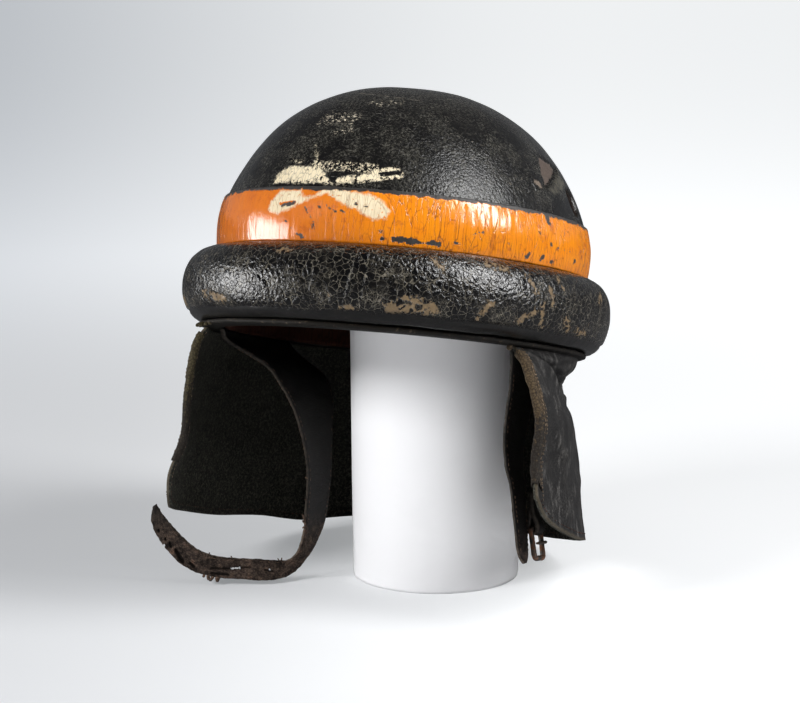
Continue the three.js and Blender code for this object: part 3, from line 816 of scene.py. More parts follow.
print("stage: brim roll")
roll = {
    "columns": 760,
    "rows": 92,
    "height": 39.8,
    # share of the bulge and share of the height, counted from the shell
    "section": [
        (0, 0.012), (0, 0.965), (0.13, 1), (0.32, 0.99), (0.58, 0.94), (0.82, 0.83), (0.96, 0.67),
        (1, 0.49), (0.94, 0.29), (0.78, 0.12), (0.56, 0.02), (0.28, 0),
    ],
    "coreInset": 8,
    "seamInset": 9,
    "seamDrop": 2.3,
    "lipHeight": 5.2,
    "lumps": [(0.55, (30, 30, 22), 1.7), (0.16, 7, 4.4)],
    # glaze rubbed through to brown; unrolled places
    "worn": [
        (33, 8, 50, 9.5, 3.2), (38, 13, 44, 12, 2), (72, 8, 77, 15, 1.9),
        (94, 9, 102, 14, 2), (98, 32, 103, 24, 2), (112, 27, 114, 19, 1.8),
        (106, 18, 109, 8, 1.7), (126, 13, 130, 8, 2.4), (140, 7.5, 152, 8, 2),
        (49, 34, 53, 31, 2), (76, 35, 86, 34, 2.2), (-62, 12, -48, 8, 2.6),
        (13, 6.5, 17, 7, 1.7), (-18, 35, -14, 34, 1.6), (120, 33, 122, 29, 1.5),
        (165, 26, 170, 30, 2.2), (-128, 14, -98, 9, 3.2), (-118, 22, -112, 17, 1.8),
        (-200, 12, -185, 14, 2.6), (225, 9, 245, 10, 2.4), (290, 12, 300, 16, 2.6),
    ],
    # long cracks that run over the roll from top to bottom
    "longCracks": [
        (17.5, 36, 13.5, 8, 0.45), (22, 24, 20.5, 10, 0.35), (1, 30, -1, 14, 0.3),
        (-16, 33, -15, 22, 0.3), (36, 30, 35, 12, 0.35), (108, 30, 112, 12, 0.4),
        (136, 24, 133, 8, 0.4), (146, 28, 150, 10, 0.35), (-90, 33, -86, 12, 0.4),
        (200, 31, 204, 10, 0.4), (265, 33, 262, 9, 0.4), (-250, 33, -247, 9, 0.4),
        (-160, 33, -165, 9, 0.4),
    ],
}


def swayRing(points, radius, sway):
    # what stands outside the shell leans to one side
    shell = helmet["shellRadius"] + helmet["fit"]
    outside = np.maximum(0, radius - shell) / (helmet["rollRadius"] - shell)
    points = points.copy()
    points[..., 0] += sway * outside
    return points


def makeRoll():
    shell = helmet["shellRadius"] + helmet["fit"]
    corners = [(shell + out * (helmet["rollRadius"] - shell), up * roll["height"]) for out, up in roll["section"]]
    section = roundedSection(corners, roll["rows"])
    section[:, 0] = np.maximum(section[:, 0], shell)
    points = swayRing(ringGrid(section, roll["columns"]), section[:, :1], helmet["rimSway"])
    layers = strokeLayers(points, roll, "worn", "longCracks")
    core = ringGrid(np.array([[shell + roll["coreInset"], roll["height"] / 2]]), roll["columns"])
    normals = facing(gridNormals(points, ring=True), points - core)
    free = np.clip((section[:, 0] - shell - 1.5) / 4, 0, 1)[:, None]
    swell = ripples(points, roll["lumps"])
    lip = roll["lipHeight"] + 0.7 * ripple(points, 24, 9.1)
    up = points[..., 2]
    outside = section[:, :1] > shell + roll["seamInset"]
    swell -= outside * 0.75 * bell(up - lip, 0.75)
    swell -= outside * np.where(up < lip, 0.35, 0)
    seam = roll["height"] - roll["seamDrop"]
    swell -= 0.5 * bell(up - seam, 0.8) * (section[:, :1] < shell + roll["seamInset"])
    points = points + normals * (swell * free)[..., None]
    return makeTube("brimRoll", points, layers=layers)


def makeRollLeather():
    material, local, height = helmetMaterial("crazedRollLeather")
    plates = useGroup(crazingGroup, local, 3.5, 0.17, 2.1)
    small = useGroup(crazingGroup, local, 1.35, 0.12, 1)
    longCracks = ragged(local, "longCracks", 0.55, 0.3)
    aboveLip = rise(height + (cloud(local, 12, 4) - 0.5) * 5, 4.2, 6.4)
    smallCracks = small["Crack"] * blots(local, 11, 4, 0.55, 0.46, 0.64)
    cracked = (plates["Crack"] | smallCracks * 0.7) * aboveLip | longCracks
    dusty = mix(cloud(local, 8, 5, 0.65), (0.05, 0.046, 0.038), (0.3, 0.265, 0.2))
    bloom = blots(local, 11, 6, 0.7, 0.5, 0.7)

    strayLevel = spread(rise(height, 22, 7), 0.68, 0.615)
    strays = rise(cloud(stretch(local, (1, 1, 0.6)), 3.2, 7, 0.75) - strayLevel, 0, 0.04)
    keptPlates = rise(plates["Plate"], 0.5, 0.56) * rise(plates["Dome"], 0.25, 0.6)
    worn = without((ragged(local, "worn", 3.2, 1.2) | strays) * aboveLip, keptPlates)
    tan = mix(cloud(local, 1.6, 6, 0.75), (0.06, 0.038, 0.02), (0.34, 0.23, 0.11))
    lipTone = mix(cloud(local, 6, 5), (0.002, 0.002, 0.002), (0.009, 0.008, 0.0075))
    lipTone = mix(useGroup(scuffGroup, local, 8, 0.3, 0.5)["Mask"], lipTone, (0.12, 0.105, 0.085))
    glazeTone = lay(
        mix(plates["Plate"], (0.002, 0.002, 0.0024), (0.0055, 0.005, 0.0048)),
        (cracked * spread(blots(local, 7, 5, 0.65, 0.4, 0.62), 0.25, 1), dusty),
        (blots(local, 0.8, 4, 0.8, 0.5, 0.68) * spread(bloom, 0.02, 0.35), (0.1, 0.09, 0.07)),
        (worn * 0.9, tan),
    )

    glazed = mixValue(aboveLip, 0.3, spread(plates["Plate"], 0.07, 0.2))
    roughness = mixValue(cracked * 0.8 | worn | bloom * 0.15, glazed, 0.42)
    relief = plates["Dome"] * 0.4 + small["Dome"] * 0.13 + plates["Tilt"] * 0.22
    relief = relief * spread(aboveLip, 0.15, 1) - longCracks * 0.9 - worn * 0.7 + cloud(local, 0.9, 3) * 0.1
    return setLook(material, mix(aboveLip, lipTone, glazeTone), roughness, relief, 0.5, 0.75)


brimRoll = finishPiece(makeRoll(), makeRollLeather(), "roll_leather", "brim_roll")


print("stage: rim welt and sweatband")
welt = {"top": -0.4, "bottom": -3, "inner": 93.3, "outer": 105, "columns": 420, "rows": 28, "sway": 3}
sweatband = {"top": 27, "bottom": -2.6, "wall": 1.6, "columns": 360, "faceRows": 16}


def makeWelt():
    corners = [
        (welt["inner"], welt["bottom"] + 0.5), (welt["inner"], welt["top"] - 0.5), (welt["inner"] + 0.6, welt["top"]),
        (welt["outer"] - 1.6, welt["top"]), (welt["outer"] - 0.3, -1.2), (welt["outer"] - 0.3, -2.3),
        (welt["outer"] - 1.6, welt["bottom"]), (welt["inner"] + 0.6, welt["bottom"]),
    ]
    section = roundedSection(corners, welt["rows"])
    sway = welt["sway"] * helmet["rimSway"]
    points = swayRing(ringGrid(section, welt["columns"]), section[:, :1], sway)
    outside = np.clip((section[:, :1] - 101) / 4, 0, 1)
    points[..., 2] += 0.25 * outside * ripple(points, 9, 6.6)
    layers = {"rim": np.broadcast_to(np.clip((section[:, :1] - 103) / 1.2, 0, 1), points.shape[:2])}
    return makeTube("rimWelt", points, layers=layers)


def makeSweatband():
    outer = helmet["shellRadius"] - helmet["shellWall"] - helmet["fit"]
    rows = np.linspace(sweatband["bottom"], sweatband["top"], sweatband["faceRows"])
    inward = np.full_like(rows, outer - sweatband["wall"])
    section = np.concatenate([np.stack([inward, rows], -1), np.stack([np.full_like(rows, outer), rows[::-1]], -1)])
    points = ringGrid(section, sweatband["columns"])
    inner = section[:, :1] < outer - 0.1
    loose = ripple(points, (18, 18, 30), 3.3) * 0.5 - 0.5
    points = points + unit(points * [1, 1, 0]) * (loose * inner)[..., None]
    return makeTube("sweatbandLeather", points)


def makeLinerLeather():
    material, local, _ = helmetMaterial("linerLeather")
    grain = useGroup(grainGroup, local, 0.8)
    creases = useGroup(crazingGroup, stretch(local, (1, 1, 0.3)), 3.4, 0.3, 2)
    tone = mix(grain["Mottle"], (0.02, 0.006, 0.0035), (0.085, 0.028, 0.016))
    colour = mix(creases["Crack"] * 0.6, tone, (0.02, 0.008, 0.006))
    relief = creases["Dome"] * 0.5 + grain["Height"] * 0.5
    return setLook(material, colour, spread(grain["Mottle"], 0.5, 0.75), relief, 0.15)


def makeCurtainLeather():
    material, local, height = helmetMaterial("curtainLeather")
    grain = useGroup(grainGroup, local, 0.75)
    wrinkles = useGroup(crazingGroup, local, 1.9, 0.3, 1.6)
    rubbed = blots(stretch(local, (1, 1, 0.45)), 7, 6, 0.7, 0.5, 0.68)
    edgeWear = readLayer(local, "edge") + cloud(local, 2, 5, 0.7) * 3
    outTone = lay(
        mix(grain["Mottle"], (0.008, 0.0078, 0.008), (0.028, 0.0265, 0.026)),
        (rubbed * 0.8, (0.1, 0.095, 0.09)),
        (rise(readLayer(local, "fold"), 0.3, 1.2) * 0.3, (0.06, 0.056, 0.052)),
        # painted shade: the narrow hollow folds are darkened
        (readLayer(local, "hollowShade") * 0.85, (0.006, 0.006, 0.006)),
        (useGroup(scuffGroup, local, 6, 0.35, 0.9)["Mask"] * 0.9, (0.19, 0.175, 0.155)),
        (wrinkles["Crack"] * 0.35, (0.01, 0.01, 0.01)),
        (rise(edgeWear, 3.3, 1.6) * 0.6, (0.11, 0.09, 0.06)),
    )
    inTone = lay(
        mix(cloud(local, 14, 5), (0.006, 0.006, 0.0055), (0.03, 0.029, 0.024)),
        (
            blots(local, 1.5, 7, 0.85, 0.46, 0.62) * spread(rise(height, -50, -100), 0.6, 1),
            (0.1, 0.096, 0.076),
        ),
        (blots(local, 1.8, 5, 0.8, 0.69, 0.75), (0.15, 0.145, 0.11)),
    )
    inner = rise(readLayer(local, "inside"), 0.4, 0.6)
    nap = cloud(local, 0.7, 4, 0.8)
    relief = mixValue(inner, grain["Height"] * 0.5 + wrinkles["Dome"] * 0.4, nap)
    roughness = mixValue(inner, spread(rubbed, 0.5, 0.75), 0.95)
    return setLook(material, mix(inner, outTone, inTone), roughness, relief, 0.25)


def makeWeltLeather():
    material, local, _ = helmetMaterial("weltLeather")
    grain = useGroup(grainGroup, local, 0.8)
    tone = mix(grain["Mottle"], (0.005, 0.0045, 0.004), (0.02, 0.017, 0.014))
    worn = blots(local, 3, 6, 0.75, 0.56, 0.66) * rise(readLayer(local, "rim"), 0.3, 0.9)
    return setLook(material, mix(worn, tone, (0.085, 0.065, 0.048)), 0.66, grain["Height"], 0.12)


finishPiece(makeWelt(), makeWeltLeather(), "curtain_leather", "rim_welt")
finishPiece(makeSweatband(), makeLinerLeather(), "liner_leather", "sweatband")


print("stage: neck curtain")
curtain = {
    "top": -3.3,
    "radius": 101,
    "wall": 2.4,
    "columns": 380,
    "rows": 100,
    "unrollRadius": 110,
    "waves": [(0.7, (20, 20, 45), 2.9), (0.3, 8, 5.5)],
    "downs": (3.3, 9, 18, 40, 65, 85, 104),
    # turn round the head, how far out the leather stands at each of the downs, and the hem's height
    "table": [
        (-31, -1.5, 6.5, 13, 23, 22.5, 26.5, 28, -80), (-28, -1.5, 5.5, 11.5, 21.5, 20.5, 23.5, 25.5, -88),
        (-20, -1.5, 3, 6, 15, 15.5, 18.5, 21, -95.5), (-6, -1.5, -0.5, -3.5, 5.5, 8.5, 11.5, 14.5, -100.5),
        (14, -2, -3.5, -10.5, -3.5, 2, 6, 10, -102.5), (32, -2, -5, -12, -5.5, 1.5, 5.5, 9.5, -104),
        (52, -1.5, -3.5, -7, -1, 3.5, 6.5, 8.5, -105), (78, -1, -0.5, 0, 2, 4, 5, 6, -102),
        (105, -0.5, 0, 0.5, 2.5, 4, 5.5, 7, -99.5), (125, 0, 0.5, 1, 4, 6, 8, 10, -103.5),
        (138, 0, 1, 1.5, 4.5, 6.5, 9, 11, -107.5), (153, 0, 1.5, 2.5, 5.5, 7.5, 9.5, 11.5, -106.2),
        (172, 0.5, 2, 4, 7, 8.5, 10.5, 12, -107), (187, 1, 3, 5.5, 8, 9.5, 12, 13, -105.3),
        (199, 2, 4.5, 7, 8.5, 9.5, 13.5, 14, -103.5), (207, 2.5, 6, 8.3, 9.7, 10.2, 15.5, 14.5, -100.5),
        (211, 2.5, 6.3, 8.6, 10, 10.3, 16, 14.5, -95),
    ],
    # folds: from and to, each a turn and a height; how high and how wide the fold stands
    "folds": [
        (-24.7, -43.7, -16.8, -58, 1.5, 3.6), (-16.8, -58, -15, -88, 1.6, 4.2),
        (-28, -3.8, -18.2, -9.5, -1.3, 1.7), (-18.2, -9.5, -1, -19.2, -1.4, 1.9),
        (-16.2, -10.8, 5.3, -5.7, -1.2, 1.7), (-10, -16, 4, -12, -0.8, 1.4),
        (-24, -62, -20, -90, -1, 6), (-23, -10, -2, -26, 1.2, 2.4),
        (-16, -8, 6, -17, 1.3, 2.2), (-6, -30, 12, -20, 1.2, 2.6),
        (4, -36, 14, -70, 1.1, 6), (26, -30, 30, -88, -1.1, 7),
        (48, -12, 56, -60, 1.2, 6), (84, -20, 80, -90, -0.9, 9),
        (112, -14, 120, -80, 1.1, 7), (144, -30, 150, -100, 0.9, 8),
        (176, -25, 180, -90, -0.8, 7), (196, -50, 192, -98, 0.9, 5),
    ],
}


def curtainSurface(turns, depths):
    # the outer face; one row for each turn, one column for each depth from 0, at the rim, to 1, at the hem
    table = np.array(curtain["table"], float)
    read = readTable(table[:, 0], table[:, 1:], np.asarray(turns, float))
    rows = []
    for turn, reading in zip(turns, read):
        height = curtain["top"] + (reading[-1] - curtain["top"]) * np.asarray(depths)
        standOut = readTable(curtain["downs"], reading[:-1, None], -height)[:, 0]
        rows.append(ovalPoints(curtain["radius"] + standOut, turn, height))
    return np.array(rows)


def curtainFolds(turns, surface):
    # how far the folds and small waves stand out and how strong each raised fold is, calm at the rim and at the front
    # edges; and where painted shade darkens the narrow hollow folds
    around = (np.radians(turns) * curtain["unrollRadius"])[:, None]
    unrolled = np.stack([np.broadcast_to(around, surface.shape[:2]), surface[..., 2]], -1)
    swell = ripples(surface, curtain["waves"])
    strength, hollowShade = np.zeros(surface.shape[:2]), np.zeros(surface.shape[:2])
    for fromTurn, fromUp, toTurn, toUp, high, width in curtain["folds"]:
        start = (math.radians(fromTurn) * curtain["unrollRadius"], fromUp)
        end = (math.radians(toTurn) * curtain["unrollRadius"], toUp)
        fold = bell(nearStroke(unrolled, start, end), width)
        swell += high * fold
        strength += max(high, 0) * fold * (0.55 + 0.45 * ripple(surface, 3, 1.9))
        # painted shade in the narrow hollow folds, strongest along their middle
        hollowShade = np.maximum(hollowShade, np.clip(-high, 0, 1) * fold ** 2 * (width < 3))
    fromRim = np.clip((curtain["top"] - surface[..., 2]) / 7, 0, 1)
    fromFront = np.minimum(turns - turns[0], turns[-1] - turns)[:, None]
    calm = fromRim * np.clip((fromFront - 2) / 6, 0, 1)
    return swell * calm, strength * calm, hollowShade


def makeCurtain():
    first, last = curtain["table"][0][0], curtain["table"][-1][0]
    share = np.linspace(0, 1, curtain["columns"])
    turns = first + (last - first) * (share - 0.08 * np.sin(2 * math.pi * share))
    depths = np.linspace(0, 1, curtain["rows"]) ** 1.15
    outer = curtainSurface(turns, depths)
    inward = facing(gridNormals(outer), -outer * [1, 1, 0])
    inward[:, 0, 2] = 0
    inward = unit(inward)
    swell, strength, hollowShade = curtainFolds(turns, outer)
    outer = outer - inward * swell[..., None]
    inner = outer + inward * curtain["wall"]
    wide, deep = runLength(outer, 0), runLength(outer, 1)
    edge = np.minimum(np.minimum(wide, wide[-1:] - wide), deep[:, -1:] - deep)
    zero = np.zeros_like(edge)
    layers = {"inside": np.stack([zero, zero + 1]), "edge": np.stack([edge, edge])}
    layers |= {"fold": np.stack([strength, zero]), "hollowShade": np.stack([hollowShade, zero])}
    keep = np.ones((len(turns) - 1, len(depths) - 1), bool)
    piece = makeSheet("neckCurtain", outer, inner, keep, layers)
    size = {"wide": wide[-1].max() * mm, "deep": deep[:, -1].max() * mm}
    size["area"] = 0.25 * np.mean(wide[-1][1:] + wide[-1][:-1]) * np.mean(deep[1:, -1] + deep[:-1, -1]) * mm * mm
    return piece, size, {"outer": outer, "inner": inner, "inward": inward}


neckCurtain, curtainSize, curtainGrid = makeCurtain()
finishPiece(neckCurtain, makeCurtainLeather(), "curtain_leather", "neck_curtain")


print("stage: edge bindings")
binding = {
    "gap": 0.2,
    "wall": 0.8,
    "steps": 150,
    "columns": 6,
    "frontRadius": 112,
    "right": {"lowest": 0.93, "width": 3.9, "rough": 0.4},
    "left": {"lowest": 0.81, "width": 3, "rough": 0.22},
}


def makeBinding(name, edgeTurn, into, facts):
    # a strip folded round a front edge; into is +1 or -1, the way of turning into the curtain
    depths = np.linspace(0.035, facts["lowest"], binding["steps"])
    width = math.degrees(facts["width"] / binding["frontRadius"])
    turns = np.sort(edgeTurn + into * np.linspace(0, width, binding["columns"]))
    surface = curtainSurface(turns, depths)
    inward = facing(gridNormals(surface), -surface * [1, 1, 0])
    if into < 0:
        surface, inward = surface[::-1], inward[::-1]
    ahead = unit(surface[0] - surface[1])
    gap, wall = binding["gap"], binding["wall"]

    def foldAt(clearance):
        section = list((surface - inward * clearance)[::-1])
        middle = surface[0] + inward[0] * curtain["wall"] / 2
        reach = curtain["wall"] / 2 + clearance
        for angle in np.radians([-60, -30, 0, 30, 60]):
            forward = ahead * math.cos(angle) * reach * 0.9
            section.append(middle + forward + inward[0] * math.sin(angle) * reach)
        return np.array(section + list(surface + inward * (curtain["wall"] + clearance)))

    inner, outer = foldAt(gap), foldAt(gap + wall)
    across = np.linspace(-1, 1, len(outer))
    swell = facts["rough"] * (ripple(outer, 2.4, 3.7) + 0.7 * ripple(outer, 6, 6.1))
    swell -= 0.35 * np.abs(across)[:, None] ** 6
    outer = outer + unit(outer - inner) * swell[..., None]
    tornEnd = 1.5 * ripple(outer, 5, 8.2)
    low = runLength(outer, 1)
    keep = low[:-1, :-1] + tornEnd[:-1, :-1] < low[:, -1:][:-1] - 3
    keep |= (np.abs(across)[:-1, None] < 0.5) & (low[:-1, :-1] < low[:, -1:][:-1] - 1)
    keep[:, :2] = True
    edge = bothSides({"edge": np.broadcast_to(((1 - np.abs(across)) * 6)[:, None], outer.shape[:2])})
    return makeSheet(name, inner, outer, keep, edge), outer


def makeBindingLeather():
    material, local, height = helmetMaterial("wornBinding")
    rightSide = rise(put("ShaderNodeSeparateXYZ", {0: local}), -20, 20)
    grain = useGroup(grainGroup, local, 0.9)
    flakes = useGroup(crazingGroup, local, 1.6, 0.34, 1.2)
    tan = mix(cloud(local, 2.2, 6, 0.75), (0.018, 0.013, 0.009), (0.15, 0.105, 0.058))
    olive = mix(cloud(local, 3, 5, 0.7), (0.035, 0.03, 0.016), (0.12, 0.1, 0.055))
    rubbed = rise(cloud(local, 2.6, 6, 0.75) - spread(rise(height, -62, -18), 0.6, 0.36), -0.02, 0.05)
    colour = lay(
        mix(grain["Mottle"], (0.016, 0.014, 0.012), (0.04, 0.034, 0.028)),
        (rubbed, mix(rightSide, olive, tan)),
        (flakes["Crack"] * 0.75, (0.014, 0.01, 0.008)),
    )
    return setLook(material, colour, 0.82, flakes["Dome"] * 0.5 + grain["Height"] * 0.5, 0.3)


bindingLeather = makeBindingLeather()
firstTurn, lastTurn = curtain["table"][0][0], curtain["table"][-1][0]
bindingRight, rightFold = makeBinding("bindingRight", firstTurn, 1, binding["right"])
bindingLeft, leftFold = makeBinding("bindingLeft", lastTurn, -1, binding["left"])
finishPiece(bindingRight, bindingLeather, "binding_leather", "edge_binding_right")
finishPiece(bindingLeft, bindingLeather, "binding_leather", "edge_binding_left")


print("stage: straps")
strap = {"wall": 2.2, "columns": 30, "waves": [(0.35, 9, 2.5), (0.12, 3, 6.5)]}
chinStrap = {
    # one cross-section a row: its front (upper) edge, its rear (lower) edge, and how far it bows out
    "table": [
        (-86.4, -48, -3.4, -86.4, 48, -3.4, 8.8), (-85.5, -40, -10, -78.5, 42, -10, 6.5),
        (-67.5, -26, -21.5, -55, 31, -23, 3.5), (-56.3, -22, -35.7, -46.7, 25, -35, 2.5),
        (-49.4, -20, -48.5, -43.3, 19, -47.5, 2), (-43.6, -19, -64.6, -39.8, 12, -63.5, 1.5),
        (-40.9, -18, -80, -37, 7, -79, 1), (-40.9, -17, -97, -35.9, 3, -95.5, 0.7),
        (-41.2, -16, -109, -36.6, 0, -108, 0.4), (-44.2, -14, -120, -39.5, -4, -119, 0),
        (-48.5, -12.5, -125.5, -45, -6.5, -129.5, 0), (-52.5, -14, -127.3, -49.5, -11, -135.5, 0),
        (-57.5, -17, -127.7, -54.5, -16.5, -138.2, 0), (-64, -21, -127.8, -61, -21.5, -139.2, 0.4),
        (-73, -25.4, -127.8, -70.5, -25.3, -139.5, 0.6), (-82, -29.9, -127.7, -81.7, -28.5, -139.6, 0.8),
        (-89, -33.8, -126.5, -92.5, -32.8, -138, 0.8), (-96.5, -38.6, -122.5, -101.9, -37.9, -133.7, 0.6),
        (-103, -43.5, -116, -109, -43, -126.5, 0.5), (-108.3, -48.2, -109.5, -114.2, -48.3, -118, 0.4),
        (-111.5, -51.5, -104.5, -116.3, -51.8, -110, 0.2), (-113, -53.3, -101.2, -115, -53.5, -102.8, 0),
    ],
}
buckleStrap = {
    "rows": (0, 10),
    "samples": 190,
    "rooted": True,
    "rough": 0.2,
    "table": [
        (81.5, -57, -3.4, 91, 21, -3.4, -5.8), (82.2, -55.5, -10, 87, 12, -11, -4.5),
        (81.5, -52.5, -23, 81, -2, -25, -3), (79.3, -48.5, -38, 79.5, -9, -40, -2.5),
        (78.2, -45, -52, 79.5, -14, -54, -2), (79.2, -42, -65, 81, -17, -66, -1.5),
        (82.4, -40, -77, 84, -20.5, -78, -1), (85.2, -38.5, -94, 87, -23.5, -94, -0.6),
        (87.6, -36.5, -109, 89.3, -24, -109, -0.4), (89, -34, -114, 90, -26, -114.2, -0.2),
        (90, -31.5, -116, 90.4, -28.5, -116.1, 0),
    ],
}


# the cheek piece is sewn to the long strap where it bends to the left
cheekPiece = {"table": chinStrap["table"], "rows": (0, 9), "samples": 190, "rooted": True, "rough": 0.3}
freeStrap = {
    "table": chinStrap["table"],
    "rows": (9, 21),
    "samples": 300,
    "rooted": False,
    "rough": 0.4,
    # holes and tears in millimetres along and across the flat strap
    "holes": [{"at": (25.3, 5.4), "half": (0.7, 0.6)}],
    "pits": [
        (94.4, 7.4, 94, 7.6, 0.8), (88.3, 7.8, 87.9, 8.1, 0.7), (84.6, 7.8, 83, 8.8, 0.9),
        (79, 8.4, 76.5, 9.2, 1.3), (76.5, 9.2, 73.2, 10.6, 1.4), (68.6, 9.2, 66.4, 9.8, 1),
        (57, 7, 50, 6.4, 0.6), (50, 6.4, 36, 4.9, 0.45), (28, 6, 24, 6.4, 0.5),
        (57, 10, 48, 9.6, 0.7),
    ],
    "tears": [
        (46, 6.05, 41.6, 5.5, 0.42), (87.2, 12.4, 87, 11.2, 0.8),
    ],
}


def strapSurface(facts, places, shares):
    # places run along the strap in table rows, shares across it from its front edge to its rear edge
    values = np.array(facts["table"], float)
    read = readTable(np.arange(len(values)), values, places.reshape(-1)).reshape(*places.shape, 7)
    share = shares[..., None]
    points = read[..., :3] * (1 - share) + read[..., 3:6] * share
    points[..., 0] -= read[..., 6] * 4 * shares * (1 - shares)
    return points


def strapGrid(facts):
    # samples at even steps along the middle of the part between two table rows
    rough = np.linspace(*facts["rows"], 2000)
    middle = strapSurface(facts, rough, np.full_like(rough, 0.5))
    run = runLength(middle[:, None], 0)[:, 0]
    places = np.interp(np.linspace(0, run[-1], facts["samples"]), run, rough)
    shares = np.linspace(0, 1, strap["columns"])
    places, shares = np.meshgrid(places, shares, indexing="ij")
    along = np.interp(places, rough, run)
    return places, shares, along


def makeStrap(name, facts):
    holes, tears, pits = (facts.get(kind, []) for kind in ("holes", "tears", "pits"))
    places, shares, along = strapGrid(facts)
    base = strapSurface(facts, places, shares)
    across = runLength(base, 1)
    spots = np.stack([along, across], -1)
    middles = (spots[:-1, :-1] + spots[1:, 1:]) / 2
    keep = np.ones(middles.shape[:2], bool)
    for hole in holes:
        keep[np.linalg.norm((middles - hole["at"]) / hole["half"], axis=-1) < 1] = False
    for tear in tears:
        keep[nearStroke(middles, tear[:2], tear[2:4]) + 0.1 * np.sin(middles[..., 0] * 5.1) < tear[4]] = False
    edge = edgePoints(keep, strap["columns"])
    for hole in holes:
        away = (spots - hole["at"]) / hole["half"]
        radius = np.linalg.norm(away, axis=-1)
        rim = edge & (radius < 1.7)
        snapped = np.asarray(hole["at"]) + away[rim] / radius[rim][:, None] * hole["half"]
        width = across[:, -1][np.nonzero(rim)[0]]
        stepAlong = along[1, 0] - along[0, 0]
        places[rim] += (snapped[:, 0] - along[rim]) / stepAlong * (places[1, 0] - places[0, 0])
        shares[rim] += (snapped[:, 1] - across[rim]) / width
    surface = strapSurface(facts, places, np.clip(shares, 0, 1))
    normals = gridNormals(surface)
    if facts["rooted"]:
        normals[0, :, 2] = 0
        normals = unit(normals)
    fromEdge = np.minimum(across, across[:, -1:] - across)
    calm = np.clip((along - 6) / 12, 0, 1) if facts["rooted"] else np.ones_like(along)
    waves = ripples(surface, strap["waves"]) * calm
    thin = 0.55 * np.exp(-fromEdge / 0.7) * calm
    frayed = facts["rough"] * ripple(surface, 2.2, 9.7) * np.exp(-fromEdge / 0.8) * calm
    inward = unit(base[:, -1:] - base[:, :1])
    surface = surface + inward * (frayed * np.where(shares < 0.5, 1, -1))[..., None]
    pit = np.zeros_like(along)
    for row in pits:
        jagged = nearStroke(spots, row[:2], row[2:4]) + 0.25 * ripple(surface, 1.1, 3.9)
        pit = np.maximum(pit, within(jagged - row[4], 0.12))
    thin += 0.85 * pit
    front = surface + normals * (waves + thin)[..., None]
    back = surface + normals * (strap["wall"] + waves - thin)[..., None]
    fromHoles = np.full(along.shape, fieldReach)
    for hole in holes:
        away = (spots - hole["at"]) / hole["half"]
        fromHoles = np.minimum(fromHoles, (np.linalg.norm(away, axis=-1) - 1) * min(hole["half"]))
    wearEdge = np.minimum(fromEdge, np.maximum(fromHoles, 0))
    # the pit layer also carries where painted shade darkens the pits
    layers = bothSides({"edge": wearEdge, "pit": pit})
    piece = makeSheet(name, front, back, keep, layers, np.stack([spots, spots]))
    width, length = across[:, -1].max() * mm, along.max() * mm
    area = float(np.mean(across[:, -1])) * mm * length
    return piece, {"flat": (width, length), "area": area}, {"front": front, "back": back, "normals": normals}


def makeStrapLeather():
    material, local, height = helmetMaterial("strapLeather")
    spots = Value(addNode(material.node_tree, "ShaderNodeUVMap", uv_map="unrolled").outputs[0])
    low = rise(height, -96, -122)
    grain = useGroup(grainGroup, local, 0.8)
    cracks = useGroup(crazingGroup, stretch(spots, (0.55, 1, 1)), 1.3, 0.22, 2.4)
    brown = mix(blots(local, 4.5, 7, 0.8, 0.36, 0.64), (0.012, 0.009, 0.0075), (0.13, 0.093, 0.073))
    edgeNoise = readLayer(local, "edge") + cloud(local, 1.8, 5, 0.7) * 1.4
    colour = lay(
        mix(grain["Mottle"], (0.006, 0.0055, 0.0055), (0.02, 0.0188, 0.0178)),
        (low * 0.92, brown),
        (blots(local, 4.5, 6, 0.7, 0.56, 0.7) * low * 0.6, (0.2, 0.11, 0.07)),
        (cracks["Crack"] * spread(low, 0.2, 0.65), (0.011, 0.008, 0.007)),
        (rise(edgeNoise, 1, 0.5) * spread(low, 0.2, 0.5), (0.2, 0.16, 0.125)),
        # painted shade: the inside of the pits is darkened
        (readLayer(local, "pit"), (0.007, 0.005, 0.004)),
    )
    relief = cracks["Dome"] * spread(low, 0.15, 0.6) + grain["Height"] * 0.4
    relief = relief + cloud(local, 0.7, 5, 0.8) * spread(low, 0.2, 1)
    return setLook(material, colour, spread(low, 0.62, 0.88), relief, 0.45)


strapLeather = makeStrapLeather()


def finishStrap(name, facts, node):
    piece, size, grid = makeStrap(name, facts)
    finishPiece(piece, strapLeather, "strap_leather", node)
    return grid


cheekGrid = finishStrap("cheekPiece", cheekPiece, "chin_strap")
freeGrid = finishStrap("freeStrap", freeStrap, "chin_strap")
buckleGrid = finishStrap("buckleStrap", buckleStrap, "buckle_strap")


print("stage: buckle")
buckle = {
    "middle": (94.1, -19, -104.8),
    "turnY": -13,
    "turnZ": -7,
    "height": 19,
    "width": 14,
    "wire": 2.9,
    "corner": 3.4,
    "steps": 120,
    "sides": 14,
    "prong": 1.8,
    "prongSides": 10,
    "rustPits": [(0.1, 1.1, 4.8), (0.08, 3, 2.8)],
}


def placeBuckle(points):
    # x runs up the buckle, y across it and z out of it before it is turned into place
    upright = np.stack([points[..., 2], points[..., 1], -points[..., 0]], -1)
    turnY, turnZ = (Matrix.Rotation(math.radians(buckle["turn" + axis]), 3, axis) for axis in "YZ")
    return upright @ np.array(turnY @ turnZ).T + buckle["middle"]


def sweepTube(path, radii, sides, closed):
    ahead = np.roll(path, -1, 0) - np.roll(path, 1, 0) if closed else np.gradient(path, axis=0)
    ahead = unit(ahead)
    side = unit(np.cross(ahead, (0.13, 0.21, 1)))
    up = np.cross(side, ahead)
    angles = np.linspace(0, 2 * math.pi, sides, endpoint=False)
    ring = np.cos(angles)[None, :, None] * side[:, None] + np.sin(angles)[None, :, None] * up[:, None]
    return path[:, None] + ring * np.asarray(radii)[:, None, None]


